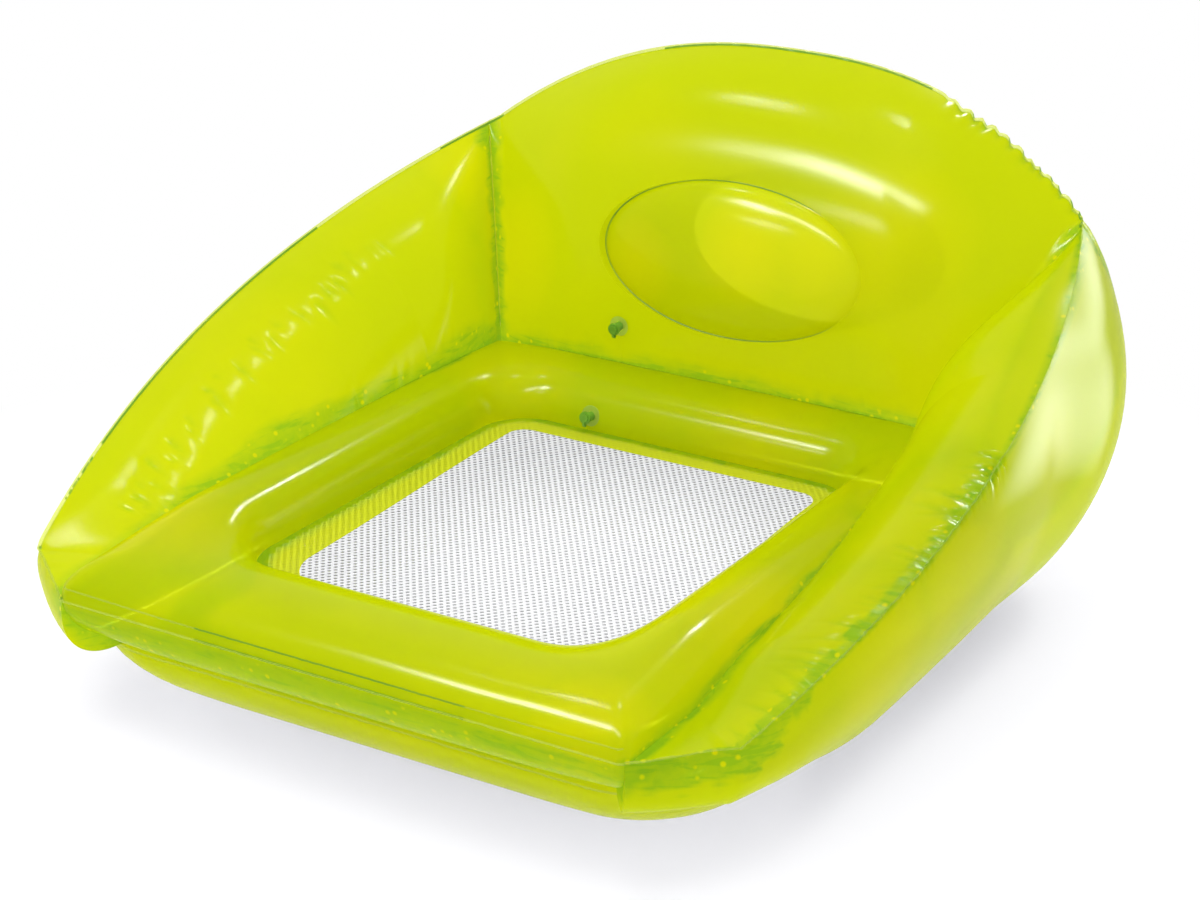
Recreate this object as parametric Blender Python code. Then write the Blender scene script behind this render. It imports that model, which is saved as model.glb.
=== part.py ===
"""Inflatable lounge chair with a net seat: two stacked air tubes, arms, a backrest and push-in valves.

Metres, +Z up, the sitter faces -Y. The chair stands on the flat underside of its base tube.
Every chamber is drawn as a row of sections. Each section stands on a station of a rounded line in
plan: a place and an outward ray, along which the section's reach is measured.
"""
import math

import bpy
import bmesh
from mathutils import Matrix, Vector
from mathutils.bvhtree import BVHTree

# Seat well: the line where the net is welded to the seat tube
well_half_width = 0.240
well_front_reach = 0.325
well_back_reach = 0.220
well_front_radius = 0.075
well_back_radius = 0.060

# Base tube, which lies on the floor: its outer outline at the seat tube, and its bore
base_half_width = 0.400
base_front_reach = 0.428
base_back_reach = 0.375
base_outer_radius = 0.130
base_bore_half_width = 0.240
base_bore_front_reach = 0.270
base_bore_back_reach = 0.220
base_bore_radius = 0.060
base_tube_height = 0.090
base_lip_height = 0.006
base_lip_width = 0.004
base_floor_width = 0.015
base_floor_share = 0.21
base_leanness = 1.55

# Seat tube, which lies on the base tube
seat_tube_height = 0.116
seat_front_drop_height = 0.018
seat_tube_squareness = 2.3
seat_side_reach = 0.107
seat_back_depth = 0.130
seat_crest_radius = 0.120

# Plan of the seam that runs round the chair: front edge, cut corners, arm ridges and back ridge
front_seam_reach = 0.474
arm_tip_half_width = 0.431
front_corner_width = 0.093
front_corner_depth = 0.067
arm_side_bow_depth = 0.079
back_corner_half_width = 0.393
back_corner_reach = 0.438
back_ridge_bow_depth = 0.055

# Heights of that seam above the floor
arm_tip_height = 0.161
back_corner_height = 0.442
arm_ridge_rise_height = 0.010
back_ridge_height = 0.567
back_ridge_roundness = 2.5

# Fullness of the inner and outer panels, measured square to the line from edge to edge
arm_front_swell_depth = 0.014
arm_inner_swell_depth = 0.105
arm_swell_growth = 1.1
arm_tip_share = 0.14
back_inner_low_swell_depth = 0.080
back_inner_high_swell_depth = 0.138
tip_outer_swell_depth = 0.050
arm_outer_swell_depth = 0.082
back_corner_outer_swell_depth = 0.127
back_outer_swell_depth = 0.150
side_shoulder_share = 0.85
back_shoulder_share = 1.25
panel_low_share = 0.28
panel_high_share = 0.76

# How the arms and the backrest stand on the tubes
side_foot_height = 0.030
side_foot_inset_width = 0.018
front_foot_inset_width = 0.004
heel_width = 0.040
foot_drop_start_reach = 0.385
foot_drop_end_reach = 0.130
tuck_under_depth = 0.026
waist_share = 0.4
arm_start_turn = math.radians(1.2)
crease_angle = math.radians(50)
crease_pinch_angle = math.radians(32)
crease_pinch_share = 0.03

# Headrest pillow: an oval drum through the backrest
pillow_half_width = 0.175
pillow_half_height = 0.093
pillow_front_reach = 0.338
pillow_front_height = 0.350
pillow_depth = 0.214
pillow_tilt = math.radians(11)
pillow_front_dome_height = 0.030
pillow_back_dome_height = 0.012
pillow_wall_thickness = 0.0016

# Net and its film border
net_thickness = 0.0012
net_border_width = 0.030
net_gaps_across = 12
net_gaps_along = 14
net_bar_share = 0.24
border_thickness = 0.0012

# Weld seams
seam_width = 0.0038
seam_thickness = 0.0014
base_seam_width = 0.0060
base_seam_thickness = 0.0012
crease_seam_width = 0.0045
crease_seam_rise_height = 0.0030
crease_seam_thickness = 0.0010

# Push-in valve
flange_radius = 0.0130
flange_thickness = 0.0012
flange_bevel_width = 0.0006
stem_radius = 0.0055
stem_bore_radius = 0.0033
stem_inner_length = 0.0120
stem_travel_length = 0.0110
head_radius = 0.0075
head_height = 0.0024
lug_width = 0.0040
lug_height = 0.0012
lug_reach = 0.0112
valve_well_radius = 0.0082
valve_well_spare_depth = 0.0150

# Its plug on a tether, and its check flap
plug_cap_radius = 0.0052
plug_cap_thickness = 0.0018
plug_nose_radius = 0.0026
plug_nose_length = 0.0042
plug_nose_taper_width = 0.0009
tether_width = 0.0030
tether_thickness = 0.0009
tether_pin_radius = 0.0010
tether_pin_reach = 0.0092
flap_radius = 0.0046
flap_thickness = 0.0006
flap_pin_radius = 0.0005
flap_pin_width = 0.0030

# Where each valve sits: its reach to the right or left of the middle line, and its height above the floor
back_valve_reach = 0.142
back_valve_height = 0.249
seat_valve_reach = 0.126
seat_valve_height = 0.166
base_valve_reach = 0.126
base_valve_height = 0.055

# Clearance between touching pieces, how far a cut runs past what it cuts, and the reach within which
# the points of a skin are one
clearance = 0.0004
overrun = 0.010
merge_reach = 0.00004

# Facets
corner_steps = 8
tip_steps = 4
side_steps = 9
end_steps = 3
seat_tube_points = 18
base_curve_steps = 5
panel_steps = 8
round_steps = 20
pillow_steps = 40
dome_steps = 3
outline_steps = 24
solve_steps = 40
smooth_angle = math.radians(40)
arm_turn_shares = (0.0, 0.2, 0.36, 0.52, 0.66, 0.78, 0.88, 0.95, 1.0)
back_turn_shares = (0.0, 0.05, 0.13, 0.26, 0.42, 0.6, 0.8)
back_corner_blend_share = 0.7

# Film and moulding colours
film_colour = (0.56, 0.66, 0.005, 1.0)
film_shade_colour = (0.40, 0.58, 0.01, 1.0)
seam_colour = (0.30, 0.52, 0.02, 1.0)
valve_colour = (0.12, 0.42, 0.05, 1.0)
net_colour = (0.85, 0.85, 0.86, 1.0)

quarter_turn = math.pi / 2
seat_tube_middle = base_tube_height + clearance + seat_tube_height / 2
front_edge_half_width = arm_tip_half_width - front_corner_width
arm_tip_reach = front_seam_reach - front_corner_depth
well = (well_half_width, well_front_reach, well_back_reach, well_front_radius, well_back_radius)
base_bore = (base_bore_half_width, base_bore_front_reach, base_bore_back_reach,
             base_bore_radius, base_bore_radius)
base_outer = (base_half_width, base_front_reach, base_back_reach, base_outer_radius, base_outer_radius)


# Scene helpers

def material(name, colour, roughness, transmission=0.0):
    """One Principled material."""
    made = bpy.data.materials.new(name)
    made.use_nodes = True
    shader = made.node_tree.nodes["Principled BSDF"]
    shader.inputs["Base Color"].default_value = colour
    shader.inputs["Roughness"].default_value = roughness
    shader.inputs["Transmission Weight"].default_value = transmission
    return made


def as_object(name, bm):
    """Puts a bmesh into the scene as one named object."""
    bmesh.ops.recalc_face_normals(bm, faces=bm.faces)
    mesh = bpy.data.meshes.new(name)
    bm.to_mesh(mesh)
    bm.free()
    made = bpy.data.objects.new(name, mesh)
    bpy.context.scene.collection.objects.link(made)
    return made


def add_object(name, bm, look, smooth=True):
    """A sub-part with its material."""
    made = as_object(name, bm)
    if smooth:
        made.data.shade_smooth()
        made.data.set_sharp_from_angle(angle=smooth_angle)
    made.data.materials.append(look)
    return made


def add_cutter(name, bm):
    """A closed shape that only cuts or joins others."""
    made = as_object(name, bm)
    made.hide_render = True
    made.display_type = "WIRE"
    return made


def combine(target, tool, operation):
    """Cuts the target with the tool, or joins the tool to it."""
    step = target.modifiers.new(operation.lower() + "_" + tool.name, "BOOLEAN")
    step.operation = operation
    step.solver = "EXACT"
    step.object = tool


def clear_scene():
    for old in list(bpy.data.objects):
        bpy.data.objects.remove(old, do_unlink=True)


# Curves and blends

def mix(a, b, share):
    """Straight blend from a to b."""
    return a + (b - a) * share


def eased(share):
    """Smooth blend share, flat at both ends."""
    share = min(max(share, 0.0), 1.0)
    return share * share * (3 - 2 * share)


def bezier(p0, p1, p2, p3, steps):
    """Points of a cubic curve, both ends included."""
    points = []
    for i in range(steps + 1):
        t = i / steps
        weights = ((1 - t) ** 3, 3 * t * (1 - t) ** 2, 3 * t * t * (1 - t), t ** 3)
        reach = sum(w * p[0] for w, p in zip(weights, (p0, p1, p2, p3)))
        height = sum(w * p[1] for w, p in zip(weights, (p0, p1, p2, p3)))
        points.append((reach, height))
    return points


def bulged(start, finish, low, high):
    """A full curve from start to finish that stands out to its left by low, then high."""
    a, b = Vector(start), Vector(finish)
    along = b - a
    left = Vector((-along.y, along.x)).normalized()
    p1 = a + along * panel_low_share + left * low
    p2 = a + along * panel_high_share + left * high
    return bezier(tuple(a), tuple(p1), tuple(p2), tuple(b), panel_steps)


# Stations on a rounded line in plan, right half, from the front middle to the back middle

def corner_station(line, angle, at_front):
    """Station in the right front or right back corner of a line."""
    half_width, front, back, front_radius, back_radius = line
    outward = Vector((math.cos(angle), math.sin(angle)))
    if at_front:
        centre = Vector((half_width - front_radius, front_radius - front))
        return centre + outward * front_radius, outward
    centre = Vector((half_width - back_radius, back - back_radius))
    return centre + outward * back_radius, outward


def side_station(line, share):
    """Station along the straight right side, from front to back."""
    half_width, front, back, front_radius, back_radius = line
    y = mix(front_radius - front, back - back_radius, share)
    return Vector((half_width, y)), Vector((1, 0))


def end_station(line, share, at_front):
    """Station along the front or back edge, from the middle to where the corner starts."""
    half_width, front, back, front_radius, back_radius = line
    if at_front:
        return Vector(((half_width - front_radius) * share, -front)), Vector((0, -1))
    return Vector(((half_width - back_radius) * share, back)), Vector((0, 1))


def corner_turn(line, x, reach):
    """Angle of the front corner station whose ray runs to a place of the outline."""
    half_width, front, back, front_radius, back_radius = line
    return -math.atan2(reach - front + front_radius, x - half_width + front_radius)


def half_round(line):
    """Stations of the right half of a line. One of them points at the chair's cut front corner."""
    cut_corner = corner_turn(line, front_edge_half_width, front_seam_reach)
    half_steps = corner_steps // 2
    found = [end_station(line, i / end_steps, True) for i in range(end_steps)]
    turns = [mix(-quarter_turn, cut_corner, i / half_steps) for i in range(half_steps)]
    turns += [cut_corner * (1 - i / half_steps) for i in range(half_steps)]
    found += [corner_station(line, turn, True) for turn in turns]
    found += [side_station(line, i / side_steps) for i in range(side_steps)]
    found += [corner_station(line, quarter_turn * i / corner_steps, False) for i in range(corner_steps)]
    found += [end_station(line, 1 - i / end_steps, False) for i in range(end_steps + 1)]
    return found


def mirrored(station):
    """The same station on the left side."""
    place, outward = station
    return Vector((-place.x, place.y)), Vector((-outward.x, outward.y))


def on_the_right(station):
    """The station itself or its mirror image, whichever is on the right."""
    place, outward = station
    return mirrored(station) if place.x < 0 or outward.x < 0 else station


def full_round(line):
    """Stations all the way round a line."""
    right = half_round(line)
    return right + [mirrored(s) for s in reversed(right[1:-1])]


def both_sides(right):
    """Stations or sections of the right half, continued over the middle to the left."""
    return right + list(reversed(right[:-1]))


# How far a station's ray runs until it meets an outline

def reach_to_line(station, point, direction):
    """Reach of a ray to a straight line in plan."""
    place, outward = station
    cross = outward.x * direction.y - outward.y * direction.x
    if math.isclose(cross, 0, abs_tol=clearance):
        return math.inf
    gap = point - place
    found = (gap.x * direction.y - gap.y * direction.x) / cross
    return found if found > 0 else math.inf


def outside_by(point, line, inset):
    """How far a point of the plan lies outside a rounded line that is drawn in by an inset."""
    half_width, front, back, front_radius, back_radius = line
    radius = max((front_radius if point.y < 0 else back_radius) - inset, 0)
    deep = (front if point.y < 0 else back) - inset
    x = abs(point.x) - (half_width - inset - radius)
    y = abs(point.y) - (deep - radius)
    return math.hypot(max(x, 0), max(y, 0)) + min(max(x, y), 0) - radius


def reach_to_round(station, line, inset=0.0):
    """Reach of a ray to a rounded line that is drawn in by an inset."""
    place, outward = station
    low, high = 0, front_seam_reach
    for _ in range(solve_steps):
        middle = (low + high) / 2
        if outside_by(place + outward * middle, line, inset) < 0:
            low = middle
        else:
            high = middle
    return low


# The seam that runs round the chair

def side_outline(share):
    """Plan of the arm ridge, from the arm's tip to the back corner."""
    x = mix(arm_tip_half_width, back_corner_half_width, share) + arm_side_bow_depth * 4 * share * (1 - share)
    return Vector((x, mix(-arm_tip_reach, back_corner_reach, share)))


def back_outline(share):
    """Plan of the back ridge, from the back corner to the middle."""
    x = back_corner_half_width * (1 - share)
    return Vector((x, back_corner_reach + back_ridge_bow_depth * (1 - (1 - share) ** 2)))


def outline_points():
    """Plan of the seam's right half, from the front middle to the back middle."""
    points = [Vector((0, -front_seam_reach)), Vector((front_edge_half_width, -front_seam_reach))]
    points += [side_outline(i / outline_steps) for i in range(outline_steps)]
    points += [back_outline(i / outline_steps) for i in range(outline_steps + 1)]
    return points


def seam_height(point):
    """Height of the seam above the floor at a point of its plan."""
    if point.y <= -arm_tip_reach:
        share = (point.y + front_seam_reach) / (front_seam_reach - arm_tip_reach)
        return mix(seat_tube_middle, arm_tip_height, eased(share))
    if point.y < back_corner_reach and abs(point.x) > back_corner_half_width:
        share = (point.y + arm_tip_reach) / (back_corner_reach + arm_tip_reach)
        rise = arm_ridge_rise_height * 4 * share * (1 - share)
        return mix(arm_tip_height, back_corner_height, share) + rise
    across = min(abs(point.x) / back_corner_half_width, 1)
    return mix(back_ridge_height, back_corner_height, across ** back_ridge_roundness)


def ridge(station):
    """Reach and height of the seam where a station's ray meets it."""
    near = on_the_right(station)
    points = outline_points()
    for a, b in zip(points, points[1:]):
        reach = reach_to_line(near, a, b - a)
        if reach is math.inf:
            continue
        met = near[0] + near[1] * reach
        along = (met - a).dot(b - a)
        if -clearance ** 2 <= along <= (b - a).length_squared + clearance ** 2:
            return reach, seam_height(met)
    raise ValueError("a station's ray misses the outline")


# Tube sections: lists of (reach, height)

def seat_reach(station):
    """Width of the seat tube at a station: a box in plan, cut by the chair's own outline."""
    near = on_the_right(station)
    side = reach_to_line(near, Vector((well_half_width + seat_side_reach, 0)), Vector((0, 1)))
    if near[1].y > 0:
        back = Vector((0, well_back_reach + seat_back_depth))
        return min(side, reach_to_line(near, back, Vector((1, 0))))
    return min(side, ridge(near)[0])


def crest_reach(station):
    """Reach of the seat tube's crest, which turns the corners in a wider curve than its edge."""
    edge = (well_half_width + seat_side_reach, front_seam_reach, well_back_reach + seat_back_depth,
            seat_crest_radius, seat_crest_radius)
    return min(reach_to_round(on_the_right(station), edge), seat_reach(station)) / 2


def seat_section(station, spread=0.0):
    """Section of the seat tube: a squarish oval, pressed flat where it lies on the base tube."""
    crest = crest_reach(station)
    outer = seat_reach(station) - clearance - crest + spread
    low = seat_tube_height / 2 + spread
    high = low - seat_front_drop_height * max(-station[1].y, 0) ** 2
    section = []
    for i in range(seat_tube_points):
        angle = 2 * math.pi * i / seat_tube_points
        c, s = math.cos(angle), math.sin(angle)
        out = math.copysign(abs(c) ** (2 / seat_tube_squareness), c)
        up = math.copysign(abs(s) ** (2 / seat_tube_squareness), s) * (high if s > 0 else low)
        width = outer if out > 0 else crest + spread
        section.append((crest + out * width, seat_tube_middle + up))
    return section


def base_inset(height):
    """How far the base tube's outline is drawn in at a height below its lip, as a share of its width."""
    drop = 1 - min(height / (base_tube_height - base_lip_height), 1)
    return 1 - (1 - drop ** base_leanness) ** (1 / base_leanness)


def base_section(station, spread=0.0):
    """Section of the base tube: flat on top, round below and pressed flat on the floor."""
    width = reach_to_round(station, base_outer)
    floor = width * base_floor_share
    lip = base_tube_height - base_lip_height
    outer, inner = [], []
    for i in range(base_curve_steps + 1):
        height = lip * (1 - math.sin(quarter_turn * i / base_curve_steps))
        drawn = base_inset(height)
        outer.append((mix(width, floor + base_floor_width, drawn) + spread, height))
        inner.append((mix(0, floor, drawn) - spread, height))
    section = [(base_lip_width - spread, base_tube_height + spread)]
    section += [(width - base_lip_width + spread, base_tube_height + spread)]
    section += outer[:-1] + [(outer[-1][0], -spread), (inner[-1][0], -spread)] + inner[-2::-1]
    return section


# Skins over a row of sections

def on_station(station, point):
    """A point of a section, in space."""
    place, outward = station
    return Vector((place.x + outward.x * point[0], place.y + outward.y * point[0], point[1]))


def skin(rings, closed):
    """Skins a row of rings of points. A ring of one point is a tip, and open ends get flat faces.

    The triangles always run the same way, so a tube's cutter has the tube's own facets.
    """
    bm = bmesh.new()
    rows = [[bm.verts.new(point) for point in ring] for ring in rings]
    pairs = list(zip(rows, rows[1:]))
    if closed:
        pairs.append((rows[-1], rows[0]))
    for a, b in pairs:
        for j in range(max(len(a), len(b))):
            k = (j + 1) % max(len(a), len(b))
            if len(a) == 1:
                bm.faces.new((a[0], b[j], b[k]))
            elif len(b) == 1:
                bm.faces.new((a[j], b[0], a[k]))
            else:
                bm.faces.new((a[j], b[j], b[k]))
                bm.faces.new((a[j], b[k], a[k]))
    for row in (rows[0], rows[-1]):
        if len(row) > 1 and not closed:
            bm.faces.new(row)
    return bm


def loft(stations, sections, closed):
    """Skins a row of sections that stand on their stations."""
    rings = []
    for station, section in zip(stations, sections):
        rings.append([on_station(station, point) for point in section])
    bm = skin(rings, closed)
    bmesh.ops.remove_doubles(bm, verts=bm.verts, dist=merge_reach)
    return bm


def flip_x(bm):
    """Mirrors a bmesh to the other side."""
    bmesh.ops.scale(bm, vec=Vector((-1, 1, 1)), verts=bm.verts)
    return bm


# Base tube and seat tube

def base_tube_mesh(spread=0.0):
    stations = full_round(base_bore)
    return loft(stations, [base_section(s, spread) for s in stations], True)


def seat_tube_mesh(spread=0.0):
    stations = full_round(well)
    return loft(stations, [seat_section(s, spread) for s in stations], True)


# Arms and backrest

def foot_share(station):
    """0 where the outer panel ends on the base tube's lip, 1 where it hangs down to its full depth."""
    place, outward = station
    y = place.y + outward.y * reach_to_round(station, base_outer)
    return eased((y + foot_drop_start_reach) / (foot_drop_start_reach - foot_drop_end_reach))


def outer_swell(along, back_share):
    """Fullness of the outer panel from the arm's tip over the side and the back corner to the back."""
    side = mix(tip_outer_swell_depth, arm_outer_swell_depth, eased(along))
    if back_share <= 0.5:
        return mix(side, back_corner_outer_swell_depth, back_share * 2)
    return mix(back_corner_outer_swell_depth, back_outer_swell_depth, back_share * 2 - 1)


def bolster_section(station, back_share, pinch):
    """Section of an arm or the backrest: up the inner panel, over the ridge and down the outer one.

    back_share runs from 0 on the side to 1 on the back. pinch narrows the inner panel at the crease.
    """
    top_reach, top = ridge(station)
    inner = seat_reach(station)
    lowered = foot_share(station)
    y = station[0].y + station[1].y * top_reach
    along = (y + arm_tip_reach) / (back_corner_reach + arm_tip_reach)
    swell = mix(arm_front_swell_depth, arm_inner_swell_depth, eased(along * arm_swell_growth))
    swell *= eased(along / arm_tip_share)
    low = mix(swell, back_inner_low_swell_depth, back_share) * pinch
    high = mix(swell, back_inner_high_swell_depth, back_share) * pinch
    start = (inner - tuck_under_depth, seat_tube_middle)
    inside = bulged(start, (top_reach, top), low, high)
    foot = mix(base_tube_height + clearance, side_foot_height, lowered)
    foot_inset = mix(front_foot_inset_width, side_foot_inset_width, lowered)
    foot_reach = reach_to_round(station, base_outer, foot_inset)
    foot_reach = min(foot_reach, top_reach - front_foot_inset_width)
    full = outer_swell(along, back_share)
    shoulder = mix(side_shoulder_share, back_shoulder_share, min(back_share * 2, 1))
    outside = bulged((top_reach, top), (foot_reach, foot), full * shoulder, full)
    heel = (foot_reach - mix(tuck_under_depth, heel_width, lowered), foot)
    waist = (min(heel[0], inner - tuck_under_depth), mix(foot, seat_tube_middle, waist_share))
    return inside + outside[1:] + [heel, waist]


def crease_pinch(angle):
    """How far the inner panel still swells near the weld crease between arm and backrest."""
    away = min(abs(angle - crease_angle) / crease_pinch_angle, 1)
    return mix(math.sqrt(max(1 - (1 - away) ** 2, 0)), 1, crease_pinch_share)


def arm_rows():
    """Left arm: stations, back shares and pinches, from the cut corner to the crease."""
    start = corner_turn(well, front_edge_half_width, front_seam_reach) + arm_start_turn
    tip = corner_turn(well, arm_tip_half_width, arm_tip_reach)
    turns = [mix(start, tip, i / tip_steps) for i in range(tip_steps)]
    turns += [tip * (1 - i / corner_steps) for i in range(corner_steps)]
    found = [(corner_station(well, turn, True), 0.0, 1.0) for turn in turns]
    found += [(side_station(well, i / side_steps), 0.0, 1.0) for i in range(side_steps)]
    for share in arm_turn_shares:
        angle = crease_angle * share
        found.append((corner_station(well, angle, False), eased(share) / 2, crease_pinch(angle)))
    return found


def back_rows():
    """Left half of the backrest, from the crease to the middle."""
    found = []
    steps = end_steps + 2
    for share in back_turn_shares:
        angle = mix(crease_angle, quarter_turn, share)
        back_share = (1 + eased(share * back_corner_blend_share)) / 2
        found.append((corner_station(well, angle, False), back_share, crease_pinch(angle)))
    for i in range(steps + 1):
        back_share = (1 + eased(mix(back_corner_blend_share, 1, i / steps))) / 2
        found.append((end_station(well, 1 - i / steps, False), back_share, 1.0))
    return found


def moved_along(station, distance):
    """A station moved along its line, square to its own ray."""
    place, outward = station
    return place + Vector((-outward.y, outward.x)) * distance, outward


def arm_mesh():
    rows = arm_rows()
    stations = [row[0] for row in rows]
    stations[-1] = moved_along(stations[-1], -clearance / 2)
    return loft(stations, [bolster_section(*row) for row in rows], False)


def make_arms(tubes):
    """Both arms. The tubes press their shape into them."""
    for name, bm in (("left_arm_rest", arm_mesh()), ("right_arm_rest", flip_x(arm_mesh()))):
        arm = add_object(name, bm, film)
        for tube in tubes:
            combine(arm, tube, "DIFFERENCE")


def make_backrest(tubes):
    rows = back_rows()
    left = [row[0] for row in rows]
    left[0] = moved_along(left[0], clearance / 2)
    sections = [bolster_section(*row) for row in rows]
    stations = left + [mirrored(s) for s in reversed(left[:-1])]
    made = add_object("backrest", loft(stations, both_sides(sections), False), film)
    for tube in tubes:
        combine(made, tube, "DIFFERENCE")
    return made


# Headrest

def drum(spread, front, back, front_dome=0.0, back_dome=0.0):
    """Oval drum through the backrest, with flat or domed ends."""
    levels = []
    if back_dome:
        turns = [quarter_turn * i / dome_steps for i in range(dome_steps)]
        levels += [(math.sin(turn), -back - back_dome * math.cos(turn)) for turn in turns]
    levels += [(1.0, -back), (1.0, front)]
    if front_dome:
        turns = [quarter_turn * i / dome_steps for i in reversed(range(dome_steps))]
        levels += [(math.sin(turn), front + front_dome * math.cos(turn)) for turn in turns]
    rings = []
    for share, level in levels:
        count = pillow_steps if share > 0 else 1
        turns = [2 * math.pi * i / pillow_steps for i in range(count)]
        across = (pillow_half_width + spread) * share
        up = (pillow_half_height + spread) * share
        rings.append([(across * math.cos(t), up * math.sin(t), level) for t in turns])
    bm = skin(rings, False)
    tilt = Matrix.Rotation(quarter_turn - pillow_tilt, 4, "X")
    frame = Matrix.Translation((0, pillow_front_reach, pillow_front_height)) @ tilt
    bmesh.ops.transform(bm, matrix=frame, verts=bm.verts)
    return bm


def make_headrest(backrest):
    """The sleeve of film through the backrest and the air pillow inside it."""
    far = pillow_half_width / 2
    hole = add_cutter("sleeve_hole_cutter", drum(0, far, pillow_depth + far))
    combine(backrest, hole, "DIFFERENCE")
    inside = -clearance - pillow_wall_thickness
    wall = add_object("headrest_wall", drum(-clearance, 0, pillow_depth), film_shade)
    bore = add_cutter("sleeve_bore_cutter", drum(inside, overrun, pillow_depth + overrun))
    combine(wall, bore, "DIFFERENCE")
    pillow = drum(inside - clearance, 0, pillow_depth, pillow_front_dome_height, pillow_back_dome_height)
    add_object("headrest_pillow", pillow, film)


# Net and its border

def well_outline(inset):
    """The well's own outline drawn in by an inset, as points of the plan."""
    return [place - outward * inset for place, outward in full_round(well)]


def plate(points, low, high):
    """A flat plate between two heights."""
    return skin([[(x, y, low) for x, y in points], [(x, y, high) for x, y in points]], False)


def make_net():
    """Net panel: a thin plate with a grid of square gaps inside its border."""
    low = seat_tube_middle - net_thickness / 2
    edge = well_outline(clearance)
    made = add_object("seat_net", plate(edge, low, low + net_thickness), net, smooth=False)
    gaps = bmesh.new()
    half = well_half_width - net_border_width
    front, back = -well_front_reach + net_border_width, well_back_reach - net_border_width
    pitch_x = 2 * half / net_gaps_across
    pitch_y = (back - front) / net_gaps_along
    size = (pitch_x * (1 - net_bar_share), pitch_y * (1 - net_bar_share), overrun)
    for i in range(net_gaps_across):
        for j in range(net_gaps_along):
            if i in (0, net_gaps_across - 1) and j in (0, net_gaps_along - 1):
                continue
            x = -half + pitch_x * (i + 0.5)
            y = front + pitch_y * (j + 0.5)
            place = Matrix.Translation((x, y, seat_tube_middle)) @ Matrix.Diagonal((*size, 1))
            bmesh.ops.create_cube(gaps, size=1, matrix=place)
    combine(made, add_cutter("net_gap_cutter", gaps), "DIFFERENCE")


def make_border():
    """Film border welded over the edge of the net."""
    low = seat_tube_middle + net_thickness / 2 + clearance
    high = low + border_thickness
    edge = well_outline(clearance)
    made = add_object("net_border", plate(edge, low, high), film_shade, smooth=False)
    inner = plate(well_outline(net_border_width), low - overrun, high + overrun)
    opening = add_cutter("border_opening_cutter", inner)
    combine(made, opening, "DIFFERENCE")


# Weld seams

def strip_section(reach, height, width, thickness):
    """Section of a flat seam strip that starts at a reach."""
    low, high = height - thickness / 2, height + thickness / 2
    return [(reach, low), (reach + width, low), (reach + width, high), (reach, high)]


def fin_section(row):
    """Section of a seam fin that stands out of a ridge, midway between its two panels."""
    section = bolster_section(*row)
    tip = Vector(section[panel_steps])
    before = (Vector(section[panel_steps - 1]) - tip).normalized()
    after = (Vector(section[panel_steps + 1]) - tip).normalized()
    out = -(before + after).normalized()
    across = Vector((-out.y, out.x)) * seam_thickness / 2
    low = tip + out * clearance
    high = low + out * seam_width
    return [low - across, high - across, high + across, low + across]


def front_stations(line, past_corner):
    """A line's stations along the front, to the cut corners and some stations past them."""
    right = half_round(line)[:end_steps + corner_steps // 2 + 1 + past_corner]
    return [mirrored(s) for s in reversed(right[1:])] + right


def make_ridge_seams():
    """Front edge, both arm ridges and the back ridge."""
    stations = front_stations(well, 0)
    sections = []
    for station in stations:
        reach = ridge(station)[0] + clearance
        sections.append(strip_section(reach, seat_tube_middle, seam_width, seam_thickness))
    add_object("front_seam", loft(stations, sections, False), seam, smooth=False)
    rows = arm_rows()
    side = [row[0] for row in rows]
    side[-1] = moved_along(side[-1], -clearance)
    fins = [fin_section(row) for row in rows]
    add_object("left_arm_seam", loft(side, fins, False), seam, smooth=False)
    add_object("right_arm_seam", flip_x(loft(side, fins, False)), seam, smooth=False)
    rows = back_rows()
    left = [row[0] for row in rows]
    left[0] = moved_along(left[0], clearance)
    back = left + [mirrored(s) for s in reversed(left[:-1])]
    fins = [fin_section(row) for row in rows]
    add_object("back_seam", loft(back, both_sides(fins), False), seam, smooth=False)


def make_base_seam():
    """The weld between the two tubes, where the front shows it."""
    stations = front_stations(base_bore, 1)
    height = base_tube_height - base_lip_height
    sections = []
    for station in stations:
        reach = reach_to_round(station, base_outer) + clearance
        sections.append(strip_section(reach, height, base_seam_width, base_seam_thickness))
    add_object("base_seam", loft(stations, sections, False), seam, smooth=False)


def crease_mesh():
    """A fin of doubled film in the corner crease between the left arm and the backrest."""
    station = corner_station(well, crease_angle, False)
    section = bolster_section(station, 0.5, crease_pinch(crease_angle))
    line = [Vector(point) for point in section[:panel_steps + 1]]
    stations = [moved_along(station, side * crease_seam_thickness / 2) for side in (-1, 1)]
    rings = []
    for i, point in enumerate(line[:-1]):
        along = (line[i + 1] - point).normalized()
        inward = Vector((-along.y, along.x))
        low = point + inward * crease_seam_rise_height
        high = low + inward * crease_seam_width
        rings.append([on_station(stations[a], p) for a, p in ((0, low), (1, low), (1, high), (0, high))])
    return skin(rings, False)


def make_crease_seams(seat_tube):
    for name, bm in (("left_crease_seam", crease_mesh()), ("right_crease_seam", flip_x(crease_mesh()))):
        made = add_object(name, bm, seam, smooth=False)
        combine(made, seat_tube, "DIFFERENCE")


# Valves. In a valve's own frame Z points out of the chamber, Y points up and the flange's top is at 0.

def turned(profile):
    """A turned piece from its profile of (radius, height). A radius of 0 is a tip on the axis."""
    rings = []
    for radius, height in profile:
        turns = [2 * math.pi * i / round_steps for i in range(round_steps if radius else 1)]
        rings.append([(radius * math.cos(t), radius * math.sin(t), height) for t in turns])
    return skin(rings, profile[0][0] > 0)


def box(low, high):
    """A box between two corners."""
    (x0, y0, z0), (x1, y1, z1) = low, high
    outline = ((x0, y0), (x1, y0), (x1, y1), (x0, y1))
    return plate(outline, z0, z1)


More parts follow.
